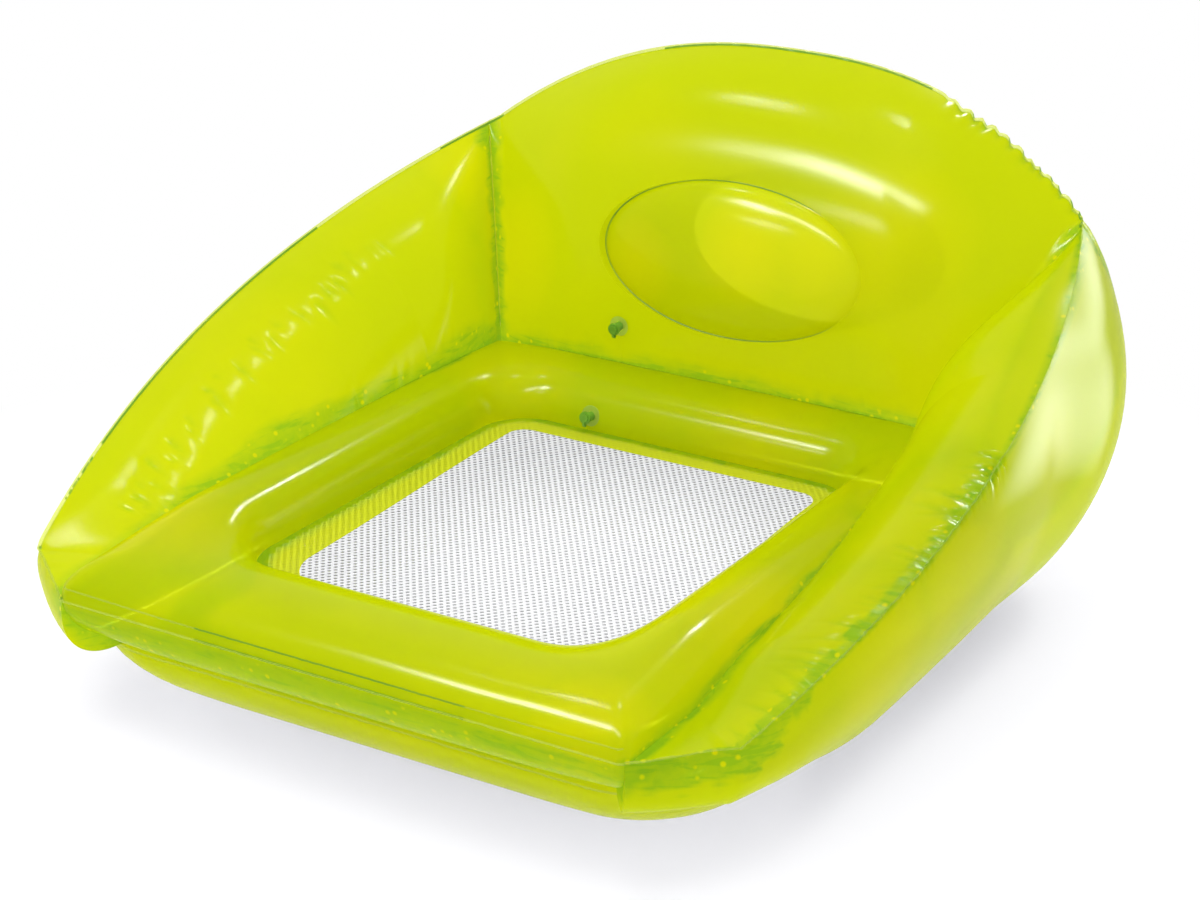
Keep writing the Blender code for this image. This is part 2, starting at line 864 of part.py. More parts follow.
def pin(radius, width):
    """A short round pin along X, through the middle of its frame."""
    bm = turned([(0, -width / 2), (radius, -width / 2), (radius, width / 2), (0, width / 2)])
    bmesh.ops.transform(bm, matrix=Matrix.Rotation(quarter_turn, 4, "Y"), verts=bm.verts)
    return bm


def placed(made, frame, origin):
    """Puts a piece that is drawn round an origin of its valve's frame into place."""
    made.matrix_world = frame @ Matrix.Translation(origin)
    return made


def around(bm, origin):
    """Moves a mesh that is drawn in the valve's frame so that it lies round an origin."""
    bmesh.ops.translate(bm, vec=-Vector(origin), verts=bm.verts)
    return bm


head_low = stem_travel_length + clearance
head_high = head_low + head_height
plug_pin = (0, -tether_pin_reach, head_low + lug_height + clearance + tether_pin_radius)
flap_pin = (0, -flap_radius - clearance, -stem_inner_length - clearance - flap_pin_radius)


def make_flange(name, frame):
    low, waist = -flange_thickness, -flange_bevel_width
    hole = stem_radius + clearance
    top_radius = flange_radius - flange_bevel_width
    profile = [(hole, low), (flange_radius, low), (flange_radius, waist), (top_radius, 0), (hole, 0)]
    placed(add_object(name + "_flange", turned(profile), moulding), frame, (0, 0, 0))


def make_stem(name, frame):
    """The soft tube with its head, and the lug that carries the plug's tether."""
    low = -stem_inner_length
    profile = [(stem_bore_radius, low), (stem_radius, low), (stem_radius, head_low), (head_radius, head_low),
               (head_radius, head_high), (stem_bore_radius, head_high)]
    stem = placed(add_object(name + "_stem", turned(profile), moulding), frame, (0, 0, 0))
    low = (-lug_width / 2, -lug_reach, head_low + clearance / 2)
    high = (lug_width / 2, -stem_radius, head_low + lug_height)
    lug = placed(add_cutter(name + "_lug_joiner", box(low, high)), frame, (0, 0, 0))
    combine(stem, lug, "UNION")


def make_plug(name, frame):
    """Cap and tapered nose, with the tether's strap and its round end."""
    low = head_high + clearance
    high = low + plug_cap_thickness
    tip = low - plug_nose_length
    profile = [(0, tip), (plug_nose_radius - plug_nose_taper_width, tip), (plug_nose_radius, low),
               (plug_cap_radius, low), (plug_cap_radius, high), (0, high)]
    plug = placed(add_object(name + "_plug", around(turned(profile), plug_pin), moulding), frame, plug_pin)
    middle = (low + high) / 2
    corner = (-tether_width / 2, -tether_pin_reach, middle - tether_thickness / 2)
    opposite = (tether_width / 2, -plug_cap_radius / 2, middle + tether_thickness / 2)
    strap = add_cutter(name + "_strap_joiner", around(box(corner, opposite), plug_pin))
    combine(plug, placed(strap, frame, plug_pin), "UNION")
    barrel = add_cutter(name + "_barrel_joiner", pin(tether_pin_radius, lug_width))
    combine(plug, placed(barrel, frame, plug_pin), "UNION")


def make_flap(name, frame):
    """Check flap under the stem's lower end."""
    low = flap_pin[2] - flap_thickness / 2
    high = flap_pin[2] + flap_thickness / 2
    profile = [(0, low), (flap_radius, low), (flap_radius, high), (0, high)]
    flap = placed(add_object(name + "_flap", around(turned(profile), flap_pin), moulding), frame, flap_pin)
    barrel = add_cutter(name + "_flap_barrel_joiner", pin(flap_pin_radius, flap_pin_width))
    combine(flap, placed(barrel, frame, flap_pin), "UNION")


def valve_frame(chamber, across, height):
    """Frame of a valve where a level line from the middle of the well meets the chamber behind it."""
    mesh = chamber.data
    tree = BVHTree.FromPolygons([v.co for v in mesh.vertices], [p.vertices for p in mesh.polygons])
    met, out, _, _ = tree.ray_cast(Vector((across, 0, height)), Vector((0, 1, 0)))
    up = Vector((0, 0, 1))
    up = (up - out * up.dot(out)).normalized()
    frame = Matrix((up.cross(out), up, out)).transposed().to_4x4()
    return Matrix.Translation(met) @ frame


def make_valve(name, chamber, across, height):
    """A valve in a flat seat of its chamber, over a well that its stem is pushed into."""
    frame = valve_frame(chamber, across, height)
    seat = -flange_thickness - clearance
    bottom = -stem_inner_length - stem_travel_length - valve_well_spare_depth
    wide = flange_radius + clearance
    profile = [(0, bottom), (valve_well_radius, bottom), (valve_well_radius, seat), (wide, seat),
               (wide, overrun), (0, overrun)]
    recess = placed(add_cutter(name + "_recess_cutter", turned(profile)), frame, (0, 0, 0))
    combine(chamber, recess, "DIFFERENCE")
    make_flange(name, frame)
    make_stem(name, frame)
    make_plug(name, frame)
    make_flap(name, frame)


def centre_on_origin():
    """Moves everything along Y so that the chair's box is centred over the origin."""
    graph = bpy.context.evaluated_depsgraph_get()
    reach = []
    for made in bpy.context.scene.objects:
        if not made.hide_render:
            solid = made.evaluated_get(graph)
            reach += [(solid.matrix_world @ Vector(corner)).y for corner in solid.bound_box]
    middle = (min(reach) + max(reach)) / 2
    for made in bpy.context.scene.objects:
        made.location.y -= middle


clear_scene()
film = material("dyed_film", film_colour, 0.12, 0.6)
film_shade = material("double_film", film_shade_colour, 0.18, 0.4)
seam = material("welded_seam", seam_colour, 0.35)
net = material("net_fabric", net_colour, 0.8)
moulding = material("valve_moulding", valve_colour, 0.35)

base_tube = add_object("base_tube", base_tube_mesh(), film)
seat_tube = add_object("seat_tube", seat_tube_mesh(), film)
seat_tube_cutter = add_cutter("seat_tube_cutter", seat_tube_mesh(clearance))
base_tube_cutter = add_cutter("base_tube_cutter", base_tube_mesh(clearance))
make_arms((seat_tube_cutter, base_tube_cutter))
backrest = make_backrest((seat_tube_cutter, base_tube_cutter))
make_headrest(backrest)
make_net()
make_border()
make_ridge_seams()
make_base_seam()
make_crease_seams(seat_tube_cutter)
make_valve("back_valve", backrest, -back_valve_reach, back_valve_height)
make_valve("seat_valve", seat_tube, -seat_valve_reach, seat_valve_height)
make_valve("base_valve", base_tube, base_valve_reach, base_valve_height)
centre_on_origin()
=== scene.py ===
# %% [markdown]
# # An inflatable lounge chair with a net seat
#
# The real thing is made of flat sheets of dyed, clear vinyl film. They are welded together along
# narrow seams and then blown up, so every chamber is a full, smooth skin that puckers where it
# meets a weld. This lesson builds those skins, the welds, the net and the valves round a packed
# CAD model, which stays the fixed frame for sizes and moving bodies.

import math
import random

import bpy
import bmesh
import numpy as np
from mathutils import Matrix, Vector
from mathutils.bvhtree import BVHTree
from mathutils.kdtree import KDTree


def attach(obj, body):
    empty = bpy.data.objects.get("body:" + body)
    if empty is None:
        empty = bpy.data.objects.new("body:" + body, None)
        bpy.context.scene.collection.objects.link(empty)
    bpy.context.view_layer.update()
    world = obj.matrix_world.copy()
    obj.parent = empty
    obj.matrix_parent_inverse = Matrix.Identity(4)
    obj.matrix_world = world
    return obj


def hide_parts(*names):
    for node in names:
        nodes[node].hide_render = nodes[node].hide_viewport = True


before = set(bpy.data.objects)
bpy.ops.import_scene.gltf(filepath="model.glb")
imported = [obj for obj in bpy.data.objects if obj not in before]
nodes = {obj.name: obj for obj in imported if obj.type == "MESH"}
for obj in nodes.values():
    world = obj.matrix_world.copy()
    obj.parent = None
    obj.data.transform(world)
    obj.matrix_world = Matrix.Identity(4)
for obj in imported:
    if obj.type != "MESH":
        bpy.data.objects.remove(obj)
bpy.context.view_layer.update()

# %% [markdown]
# ## The camera
#
# The photograph looks down at the chair from the front, on the side of its left arm. A camera is
# a place, a direction and a focal length. They were fitted to the net, the seams and the floor
# line, so the picture's perspective is the photograph's. A long lens far away keeps the chair's
# lines nearly parallel.

# %% Camera
camera_place = Vector((1.58627, -2.56929, 1.43941))
camera_back = Vector((0.4873, -0.7877, 0.3769))
focal_length_mm = 87.684
far_clip = 60

camera_data = bpy.data.cameras.new("photo_camera")
camera_data.lens = focal_length_mm
camera_data.clip_end = far_clip
camera = bpy.data.objects.new("photo_camera", camera_data)
camera.location = camera_place
camera.rotation_mode = "QUATERNION"
camera.rotation_quaternion = (-camera_back).to_track_quat("-Z", "Y")
bpy.context.scene.collection.objects.link(camera)
bpy.context.scene.camera = camera
bpy.context.scene.view_settings.view_transform = "Standard"
print("camera", round(camera_place.length, 3), "m from the middle of the floor under the chair")

# %% [markdown]
# ## Small helpers for node trees
#
# A procedural material is a graph of nodes. Short helpers keep each recipe readable. They add a
# node and set its values, link sockets, read a place or a stored value of the surface, and mix
# colours or shaders by a share from 0 to 1.

# %% Node helpers
def node(tree, kind, **values):
    """Adds a node. A value's name is an input's name with _ for a space, or a property's name."""
    made = tree.nodes.new(kind)
    for name, value in values.items():
        socket = made.inputs.get(name.replace("_", " ")) if name[0].isupper() else None
        if socket is not None:
            socket.default_value = value
        else:
            setattr(made, name, value)
    return made


def link(tree, source, target):
    """Links two sockets. A node stands for its first output."""
    if isinstance(source, bpy.types.Node):
        source = source.outputs[0]
    tree.links.new(source, target)


def new_material(name):
    """An empty material: its node tree and its output node."""
    made = bpy.data.materials.new(name)
    made.use_nodes = True
    made.node_tree.nodes.clear()
    return made, made.node_tree, made.node_tree.nodes.new("ShaderNodeOutputMaterial")


# %% Values in a node tree
def combined(tree, operation, a, b):
    """A sum, product or other operation on two sockets, or on a socket and a number."""
    made = node(tree, "ShaderNodeMath", operation=operation)
    for i, value in enumerate((a, b)):
        if isinstance(value, (int, float)):
            made.inputs[i].default_value = value
        else:
            link(tree, value, made.inputs[i])
    return made.outputs[0]


def stepped(tree, value, low, high, smooth=False):
    """A value turned into a share that rises from 0 at low to 1 at high."""
    kind = "SMOOTHSTEP" if smooth else "LINEAR"
    made = node(tree, "ShaderNodeMapRange", interpolation_type=kind, From_Min=low, From_Max=high)
    link(tree, value, made.inputs["Value"])
    return made.outputs["Result"]


def places_on(tree):
    """Place of each point in the piece's own space, which is the chair's space here."""
    return node(tree, "ShaderNodeTexCoord").outputs["Object"]


def distance_from(tree, middle):
    """Distance of each point from a place."""
    made = node(tree, "ShaderNodeVectorMath", operation="DISTANCE")
    made.inputs[1].default_value = middle
    link(tree, places_on(tree), made.inputs[0])
    return made.outputs["Value"]


def stored(tree, name):
    """A value that is stored at each point of a piece."""
    return node(tree, "ShaderNodeAttribute", attribute_name=name).outputs["Fac"]


def noise(tree, where, **values):
    """A noise of the place, from 0 to 1."""
    made = node(tree, "ShaderNodeTexNoise", **values)
    link(tree, where, made.inputs["Vector"])
    return made.outputs["Fac"]


# %% Mixes in a node tree
def mixed(tree, share, plain, other):
    """Colour mix by a share. Each colour is a value or a socket."""
    made = node(tree, "ShaderNodeMix", data_type="RGBA")
    link(tree, share, made.inputs["Factor"])
    for i, colour in ((6, plain), (7, other)):
        if isinstance(colour, tuple):
            made.inputs[i].default_value = colour
        else:
            link(tree, colour, made.inputs[i])
    return made.outputs[2]


def blended(tree, share, plain, other):
    """Shader mix by a share, which is a number or a socket."""
    made = node(tree, "ShaderNodeMixShader")
    if isinstance(share, (int, float)):
        made.inputs["Fac"].default_value = share
    else:
        link(tree, share, made.inputs["Fac"])
    link(tree, plain, made.inputs[1])
    link(tree, other, made.inputs[2])
    return made


# %% [markdown]
# ## Dyed film
#
# Thin coloured film does three things to light. It lets some straight through and tints it, it
# scatters some in the dyed vinyl, and its two glossy faces mirror the lamps. Glass would bend what
# is behind it, which film this thin doesn't do, so the see-through share is a Transparent shader
# and the rest is a glossy Principled shader with some Translucent. Where several films lie behind
# each other the colour hardly darkens, because the scattered share fills in what the tint takes
# away.
#
# Lamps reach the inner walls through a paler Transparent shader that only shadow rays and
# bounced light meet, so the chair is evenly bright inside and the floor keeps a soft, grey shadow.

# %% Film colours
film_body = (0.62, 0.71, 0.0, 1)
film_tint = (0.88, 0.93, 0.04, 1)
# Warm yellow, used for the film's random warm tone and also for painted glows and painted glints.
warm_tone_and_glow_body = (0.86, 0.80, 0.0, 1)
# The pressed colour and tint below mark pressed film and also paint shade into the valleys of folds.
touch_and_shade_body = (0.32, 0.55, 0.01, 1)
touch_and_shade_tint = (0.55, 0.80, 0.12, 1)
lamp_tint = (0.89, 0.89, 0.90, 1)
print("film colours:", film_body[:3], "warm", warm_tone_and_glow_body[:3], "pressed", touch_and_shade_body[:3])

# %% [markdown]
# ## Marks of pressed film, painted shade and painted glints
#
# Where two films are pressed together, the photograph shows a darker, greener band with a ragged
# edge, fine level streaks and small bright dots, which are painted glints. Each is a noise of the
# place, let in only where the piece's own touch value says that films meet. The same value also
# paints shade into the valleys of folds. That value is measured on the meshes further down. A
# painted picture could hold the same marks, but it would need an image file and a flattened skin;
# a noise needs neither and is as sharp close up.

# %% Marks of pressed film and painted glints
ruffle_strength, ruffle_limit = 1.3, 0.6
streak_scales, streak_strength = (22, 22, 150), 0.55
dot_scale, dot_edge, dot_middle, dot_fade = 95.0, 0.34, 0.18, 0.03


def pressed_and_shaded_share(tree, where):
    """Share from 0 to 1 of film pressed on another one, plus painted shade in the valleys of folds."""
    touch_and_shade = stored(tree, "touch_and_shade")
    grain = noise(tree, where, Scale=75.0, Detail=4.0, Roughness=0.6, Distortion=0.6)
    ruffle = combined(tree, "MULTIPLY", combined(tree, "SUBTRACT", grain, 0.5), ruffle_strength)
    ruffle = combined(tree, "MULTIPLY", ruffle, combined(tree, "MINIMUM", touch_and_shade, ruffle_limit))
    torn = combined(tree, "ADD", touch_and_shade, ruffle)
    squeezed = node(tree, "ShaderNodeVectorMath", operation="MULTIPLY")
    squeezed.inputs[1].default_value = streak_scales
    link(tree, where, squeezed.inputs[0])
    streak = noise(tree, squeezed, Scale=1.0, Detail=3.0, Roughness=0.55, Distortion=0.8)
    lines = combined(tree, "MULTIPLY", stepped(tree, streak, 0.50, 0.66), stepped(tree, touch_and_shade, 0.15, 0.5))
    lines = combined(tree, "MULTIPLY", lines, streak_strength)
    return combined(tree, "MINIMUM", combined(tree, "ADD", stepped(tree, torn, 0.05, 1.05), lines), 1.0)


def painted_glint_dots(tree, where, share):
    """Painted glints: small bright dots in a share of the cells of a random pattern, only where films touch.
    """
    cells = node(tree, "ShaderNodeTexVoronoi", Scale=dot_scale)
    link(tree, where, cells.inputs["Vector"])
    near = stepped(tree, cells.outputs["Distance"], dot_edge, dot_middle)
    picked = node(tree, "ShaderNodeSeparateColor")
    link(tree, cells.outputs["Color"], picked.inputs["Color"])
    few = stepped(tree, picked.outputs["Red"], 1 - share, 1 - share + dot_fade)
    inside = stepped(tree, stored(tree, "touch_and_shade"), 0.25, 0.4)
    return combined(tree, "MULTIPLY", combined(tree, "MULTIPLY", near, few), inside)


# %% Film material
film_ior = 1.22
through_share = 0.4
drift_strength = 0.35


def film_material(name, body, tint, clear_share, roughness, glint_share=0.0):
    """Tinted see-through film over a glossy, dyed body, darker and greener where films touch and as painted
    fold shade.
    """
    made, tree, out = new_material(name)
    where = places_on(tree)
    pressed = pressed_and_shaded_share(tree, where)
    drift = stepped(tree, noise(tree, where, Scale=4.0, Detail=2.0, Roughness=0.5), 0.5, 0.75)
    # The glow value is painted light; the drift is a random warm tone of the dye.
    warm_tone_and_glow = combined(tree, "ADD", stored(tree, "glow"), combined(tree, "MULTIPLY", drift, drift_strength))
    colour = mixed(tree, pressed, mixed(tree, warm_tone_and_glow, body, warm_tone_and_glow_body), touch_and_shade_body)
    if glint_share:
        colour = mixed(tree, painted_glint_dots(tree, where, glint_share), colour, warm_tone_and_glow_body)
    gloss = node(tree, "ShaderNodeBsdfPrincipled", Roughness=roughness, IOR=film_ior)
    link(tree, colour, gloss.inputs["Base Color"])
    through = node(tree, "ShaderNodeBsdfTranslucent")
    link(tree, colour, through.inputs["Color"])
    dyed = blended(tree, through_share, gloss, through)
    clear = node(tree, "ShaderNodeBsdfTransparent")
    link(tree, mixed(tree, pressed, tint, touch_and_shade_tint), clear.inputs["Color"])
    seen = blended(tree, 1 - clear_share, clear, dyed)
    ray = node(tree, "ShaderNodeLightPath")
    lamp_or_bounce = combined(tree, "MAXIMUM", ray.outputs["Is Shadow Ray"], ray.outputs["Is Diffuse Ray"])
    pale = node(tree, "ShaderNodeBsdfTransparent", Color=lamp_tint)
    link(tree, blended(tree, lamp_or_bounce, seen, pale), out.inputs["Surface"])
    return made


# %% Film looks
film = film_material("dyed_film", film_body, film_tint, clear_share=0.38, roughness=0.15, glint_share=0.3)
sleeve_look = film_material("sleeve_film", film_body, (0.92, 0.96, 0.40, 1), clear_share=0.80, roughness=0.35)
border_look = film_material("border_film", film_body, (0.90, 0.99, 0.05, 1), clear_share=0.60, roughness=0.2)
pillow_look = film_material("pillow_film", film_body, film_tint, clear_share=0.25, roughness=0.15)
weld = film_material("welded_film", (0.22, 0.42, 0.03, 1), (0.42, 0.66, 0.10, 1), clear_share=0.25,
                     roughness=0.3)
flange_look = film_material("flange_film", (0.55, 0.72, 0.10, 1), (0.80, 0.92, 0.30, 1), clear_share=0.45,
                            roughness=0.18)
lip_look = film_material("seam_lip", (0.72, 0.84, 0.16, 1), (0.94, 0.97, 0.55, 1), clear_share=0.75,
                         roughness=0.12)
film_looks = (film, sleeve_look, border_look, pillow_look, weld, flange_look, lip_look)
print("film looks:", ", ".join(look.name for look in film_looks))

# %% [markdown]
# ## Floor, backdrop and lamps
#
# The product stands on plain white. Close to the chair the floor is a real white surface, so it
# keeps the chair's soft shadow. Further out it turns into plain white for rays that come from the
# camera, also by way of a reflection, so its far edge doesn't show as a grey band. The even light
# of a white studio comes from the world and one broad box overhead.
#
# Eight small bright boxes only make highlights: they light no matt surface, so they can be as
# bright as a highlight needs without washing out the colour. Their places were found by following
# the camera's ray to a highlight of the photograph and on by reflection. Two of them are cards that
# stand beside the near arm and face it. Every box is bright in its middle and dim at its rim, as a
# real soft box is, so its highlight has no hard edge.

# %% Floor
floor_half = 7.0
floor_colour = (0.93, 0.93, 0.93, 1)
white = (1, 1, 1, 1)
near_floor, far_floor = 0.70, 1.05


def seen_ray(tree):
    """1 for rays from the camera, also after a reflection or through clear material."""
    ray = node(tree, "ShaderNodeLightPath")
    glossy = combined(tree, "MAXIMUM", ray.outputs["Is Glossy Ray"], ray.outputs["Is Transmission Ray"])
    return combined(tree, "MAXIMUM", ray.outputs["Is Camera Ray"], glossy)


mesh = bpy.data.meshes.new("studio_floor")
corners = [(x * floor_half, y * floor_half, 0) for x, y in ((-1, -1), (1, -1), (1, 1), (-1, 1))]
mesh.from_pydata(corners, [], [(0, 1, 2, 3)])
floor = bpy.data.objects.new("studio_floor", mesh)
bpy.context.scene.collection.objects.link(floor)
floor_look, tree, out = new_material("studio_white")
paint = node(tree, "ShaderNodeBsdfPrincipled", Roughness=0.9)
paint.inputs["Base Color"].default_value = floor_colour
paint.inputs["Specular IOR Level"].default_value = 0.1
plain = node(tree, "ShaderNodeEmission", Color=white, Strength=1.0)
far = stepped(tree, distance_from(tree, (0, 0, 0)), near_floor, far_floor, smooth=True)
shown = blended(tree, combined(tree, "MULTIPLY", far, seen_ray(tree)), paint, plain)
link(tree, shown, out.inputs["Surface"])
mesh.materials.append(floor_look)
print("floor", 2 * floor_half, "m across")

# %% World
room_light = 1.0
world = bpy.data.worlds.new("studio")
bpy.context.scene.world = world
world.use_nodes = True
tree = world.node_tree
tree.nodes.clear()
out = node(tree, "ShaderNodeOutputWorld")
lights = node(tree, "ShaderNodeBackground", Color=white, Strength=room_light)
shows = node(tree, "ShaderNodeBackground", Color=white, Strength=1.0)
link(tree, blended(tree, seen_ray(tree), lights, shows), out.inputs["Surface"])
print("room light", room_light)

# %% Soft boxes
rim_scale = 36.0  # u (1 - u) is 1/6 on average, so this keeps the power of a box


def soft_box(name, place, target, size, power, along=None):
    """A rectangular lamp, bright in its middle and dim at its rim, that faces its target."""
    lamp = bpy.data.lights.new(name, "AREA")
    lamp.shape, lamp.size, lamp.size_y, lamp.energy = "RECTANGLE", *size, power
    lamp.use_nodes = True
    tree = lamp.node_tree
    spot = node(tree, "ShaderNodeSeparateXYZ")
    link(tree, node(tree, "ShaderNodeNewGeometry").outputs["Parametric"], spot.inputs[0])
    glow = rim_scale
    for side in ("X", "Y"):
        u = spot.outputs[side]
        rise = combined(tree, "MULTIPLY", u, combined(tree, "SUBTRACT", 1.0, u))
        glow = combined(tree, "MULTIPLY", rise, glow)
    link(tree, glow, tree.nodes["Emission"].inputs["Strength"])
    made = bpy.data.objects.new(name, lamp)
    made.location = place
    facing = Vector(target) - Vector(place)
    made.rotation_euler = facing.to_track_quat("-Z", "Y").to_euler()
    if along:
        back = -facing.normalized()
        side = (Vector(along) - Vector(along).dot(back) * back).normalized()
        made.rotation_euler = Matrix((side, back.cross(side), back)).transposed().to_euler()
    bpy.context.scene.collection.objects.link(made)
    return made


chair_middle, arm_side = (0, 0, 0.25), (0.47, 0.20, 0.33)
sky = soft_box("sky_box", (-0.3, -0.2, 2.6), chair_middle, (1.6, 1.6), 24)
sky.visible_glossy = False
print("sky box of", sky.data.energy, "W")

# %% Highlight boxes
highlights = (  # name, place, size, power in watts, direction of the long side
    ("key_shine", (-0.78, -1.08, 1.95), (0.60, 0.34), 62, None),
    ("right_shine", (-0.02, -1.03, 1.87), (1.30, 0.22), 52, (1.0, -0.12, -0.06)),
    ("pillow_shine", (-0.33, -0.66, 0.96), (0.30, 0.10), 3.0, (1.0, 0.0, 0.0)),
    ("back_shine", (-0.08, 1.37, 1.75), (0.26, 0.18), 16, None),
    ("top_shine", (-0.82, 0.10, 2.05), (0.20, 0.16), 5, None),
    ("fold_shine", (-0.14, 0.40, 1.87), (0.16, 0.16), 3.5, None),
    ("upper_card", (0.60, 0.77, 0.40), (0.50, 0.18), 1.6, (0.20, -0.17, -0.10)),
    ("lower_card", (0.67, 0.60, 0.21), (0.42, 0.22), 1.6, (-0.02, -0.10, -0.20)),
)
for name, place, size, power, along in highlights:
    target = arm_side if name.endswith("_card") else chair_middle
    shine = soft_box(name, place, target, size, power, along)
    shine.visible_camera = False
    shine.visible_diffuse = False
    shine.visible_transmission = False
print("highlight boxes:", len(highlights))

# %% [markdown]
# ## The shape of a chamber
#
# Each chamber is drawn as a row of sections, like the ribs of a boat. A rib stands on a station:
# a place on a rounded line in plan, with a ray that points out of the chair. The rib is a list of
# points, each with its reach along that ray and its height. Close ribs give a smooth skin, and
# every point knows how far it lies from a weld, which is what the puckers need later.
#
# The sizes are the CAD model's own, so each skin lies on the solid that it stands for. A rounded
# line is five numbers: half its width, its reach to the front and to the back, and the radii of its
# front and back corners. The model shift moves the drawing to the middle of the chair's own box.

# %% Sizes
well = (0.240, 0.325, 0.220, 0.075, 0.060)
base_bore = (0.240, 0.270, 0.220, 0.060, 0.060)
base_outer = (0.400, 0.428, 0.375, 0.130, 0.130)
model_shift = 0.04536
base_height = 0.090
lip_height = 0.006
lip_width = 0.004
floor_width = 0.015
floor_share = 0.21
leanness = 1.55
gap = 0.0004
seat_height = 0.116
seat_drop = 0.018
squareness = 2.3
side_reach = 0.107
back_depth = 0.130
crest_radius = 0.120
front_reach = 0.474
tip_half_width, tip_reach, tip_height = 0.431, 0.407, 0.161
front_half_width = 0.338
side_bow = 0.079
corner_half_width, corner_reach, corner_height = 0.393, 0.438, 0.442
back_bow, back_height, back_roundness = 0.055, 0.567, 2.5
ridge_rise = 0.010
seat_middle = base_height + gap + seat_height / 2
quarter_turn = math.pi / 2
crease_angle = math.radians(50)
pinch_angle = math.radians(32)
pinch_share = 0.03
arm_start_turn = math.radians(1.2)
print("net at", round(seat_middle, 3), "m and back ridge at", back_height, "m above the floor")


# %% Stations on a rounded line
def mix(a, b, share):
    """Straight blend from a to b."""
    return a + (b - a) * share


def eased(share):
    """Smooth blend share, flat at both ends."""
    share = min(max(share, 0.0), 1.0)
    return share * share * (3 - 2 * share)


def corner_station(line, angle, at_front):
    """Station in the right front or right back corner of a line."""
    half_width, front, back, front_radius, back_radius = line
    outward = Vector((math.cos(angle), math.sin(angle)))
    if at_front:
        centre = Vector((half_width - front_radius, front_radius - front))
        return centre + outward * front_radius, outward
    centre = Vector((half_width - back_radius, back - back_radius))
    return centre + outward * back_radius, outward


def side_station(line, share):
    """Station along the straight right side, from front to back."""
    half_width, front, back, front_radius, back_radius = line
    return Vector((half_width, mix(front_radius - front, back - back_radius, share))), Vector((1, 0))


def end_station(line, share, at_front):
    """Station along the front or back edge, from the middle to where the corner starts."""
    half_width, front, back, front_radius, back_radius = line
    if at_front:
        return Vector(((half_width - front_radius) * share, -front)), Vector((0, -1))
    return Vector(((half_width - back_radius) * share, back)), Vector((0, 1))


# %% Whole lines of stations
def corner_turn(line, x, reach):
    """Angle of the front corner station whose ray runs to a place of the outline."""
    half_width, front, _, front_radius, _ = line
    return -math.atan2(reach - front + front_radius, x - half_width + front_radius)


def half_round(line, step):
    """Stations of the right half of a line, about a step apart at its edge."""
    half_width, front, back, front_radius, back_radius = line
    cut = corner_turn(line, front_half_width, front_reach)
    spread = 2.4
    ends = max(2, round((half_width - front_radius) / step))
    found = [end_station(line, i / ends, True) for i in range(ends)]
    first = max(3, round((cut + quarter_turn) * front_radius * spread / step))
    second = max(3, round(-cut * front_radius * spread / step))
    found += [corner_station(line, mix(-quarter_turn, cut, i / first), True) for i in range(first)]
    found += [corner_station(line, cut * (1 - i / second), True) for i in range(second)]
    sides = round((front + back - front_radius - back_radius) / step)
    found += [side_station(line, i / sides) for i in range(sides)]
    last = round(quarter_turn * back_radius * spread / step)
    found += [corner_station(line, quarter_turn * i / last, False) for i in range(last)]
    ends = max(2, round((half_width - back_radius) / step))
    return found + [end_station(line, 1 - i / ends, False) for i in range(ends + 1)]


def mirrored(station):
    """The same station on the left side."""
    place, outward = station
    return Vector((-place.x, place.y)), Vector((-outward.x, outward.y))


def on_right(station):
    """The station itself, or its mirror image where it is on the left side."""
    place, outward = station
    return mirrored(station) if place.x < 0 or outward.x < 0 else station


def full_round(line, step):
    """Stations all the way round a line."""
    right = half_round(line, step)
    return right + [mirrored(s) for s in reversed(right[1:-1])]


print("a line round the well has", len(full_round(well, 0.004)), "stations at 4 mm")

# %% [markdown]
# ## Where the welds run
#
# One weld runs round the whole chair: along the front edge, over the cut corners, up both arm
# ridges and over the back. Its plan is a few straight and bowed lines, and its height is a second
# curve over that plan. Each station's ray is met with the plan to find how far its rib reaches.

# %% The seam line
def side_outline(share):
    """Plan of the arm ridge, from the arm's tip to the back corner."""
    x = mix(tip_half_width, corner_half_width, share) + side_bow * 4 * share * (1 - share)
    return Vector((x, mix(-tip_reach, corner_reach, share)))


def back_outline(share):
    """Plan of the back ridge, from the back corner to the middle."""
    return Vector((corner_half_width * (1 - share), corner_reach + back_bow * (1 - (1 - share) ** 2)))


outline_steps = 96
outline = [Vector((0, -front_reach)), Vector((front_half_width, -front_reach))]
outline += [side_outline(i / outline_steps) for i in range(outline_steps)]
outline += [back_outline(i / outline_steps) for i in range(outline_steps + 1)]


print("seam line with", len(outline), "points on each side")


# %% Where a ray meets a line
reach_halvings = 26


def reach_to_line(station, point, direction):
    """Reach of a ray to a straight line in plan."""
    place, outward = station
    cross = outward.x * direction.y - outward.y * direction.x
    if abs(cross) < 1e-6:
        return math.inf
    away = point - place
    found = (away.x * direction.y - away.y * direction.x) / cross
    return found if found > 0 else math.inf


def outside_by(point, line, inset):
    """How far a point of the plan lies outside a rounded line that is drawn in by an inset."""
    half_width, front, back, front_radius, back_radius = line
    radius = max((front_radius if point.y < 0 else back_radius) - inset, 0)
    deep = (front if point.y < 0 else back) - inset
    x = abs(point.x) - (half_width - inset - radius)
    y = abs(point.y) - (deep - radius)
    return math.hypot(max(x, 0), max(y, 0)) + min(max(x, y), 0) - radius


def reach_to_round(station, line, inset=0.0):
    """Reach of a ray to a rounded line that is drawn in by an inset."""
    place, outward = station
    low, high = 0, front_reach
    for _ in range(reach_halvings):
        half = (low + high) / 2
        if outside_by(place + outward * half, line, inset) < 0:
            low = half
        else:
            high = half
    return low


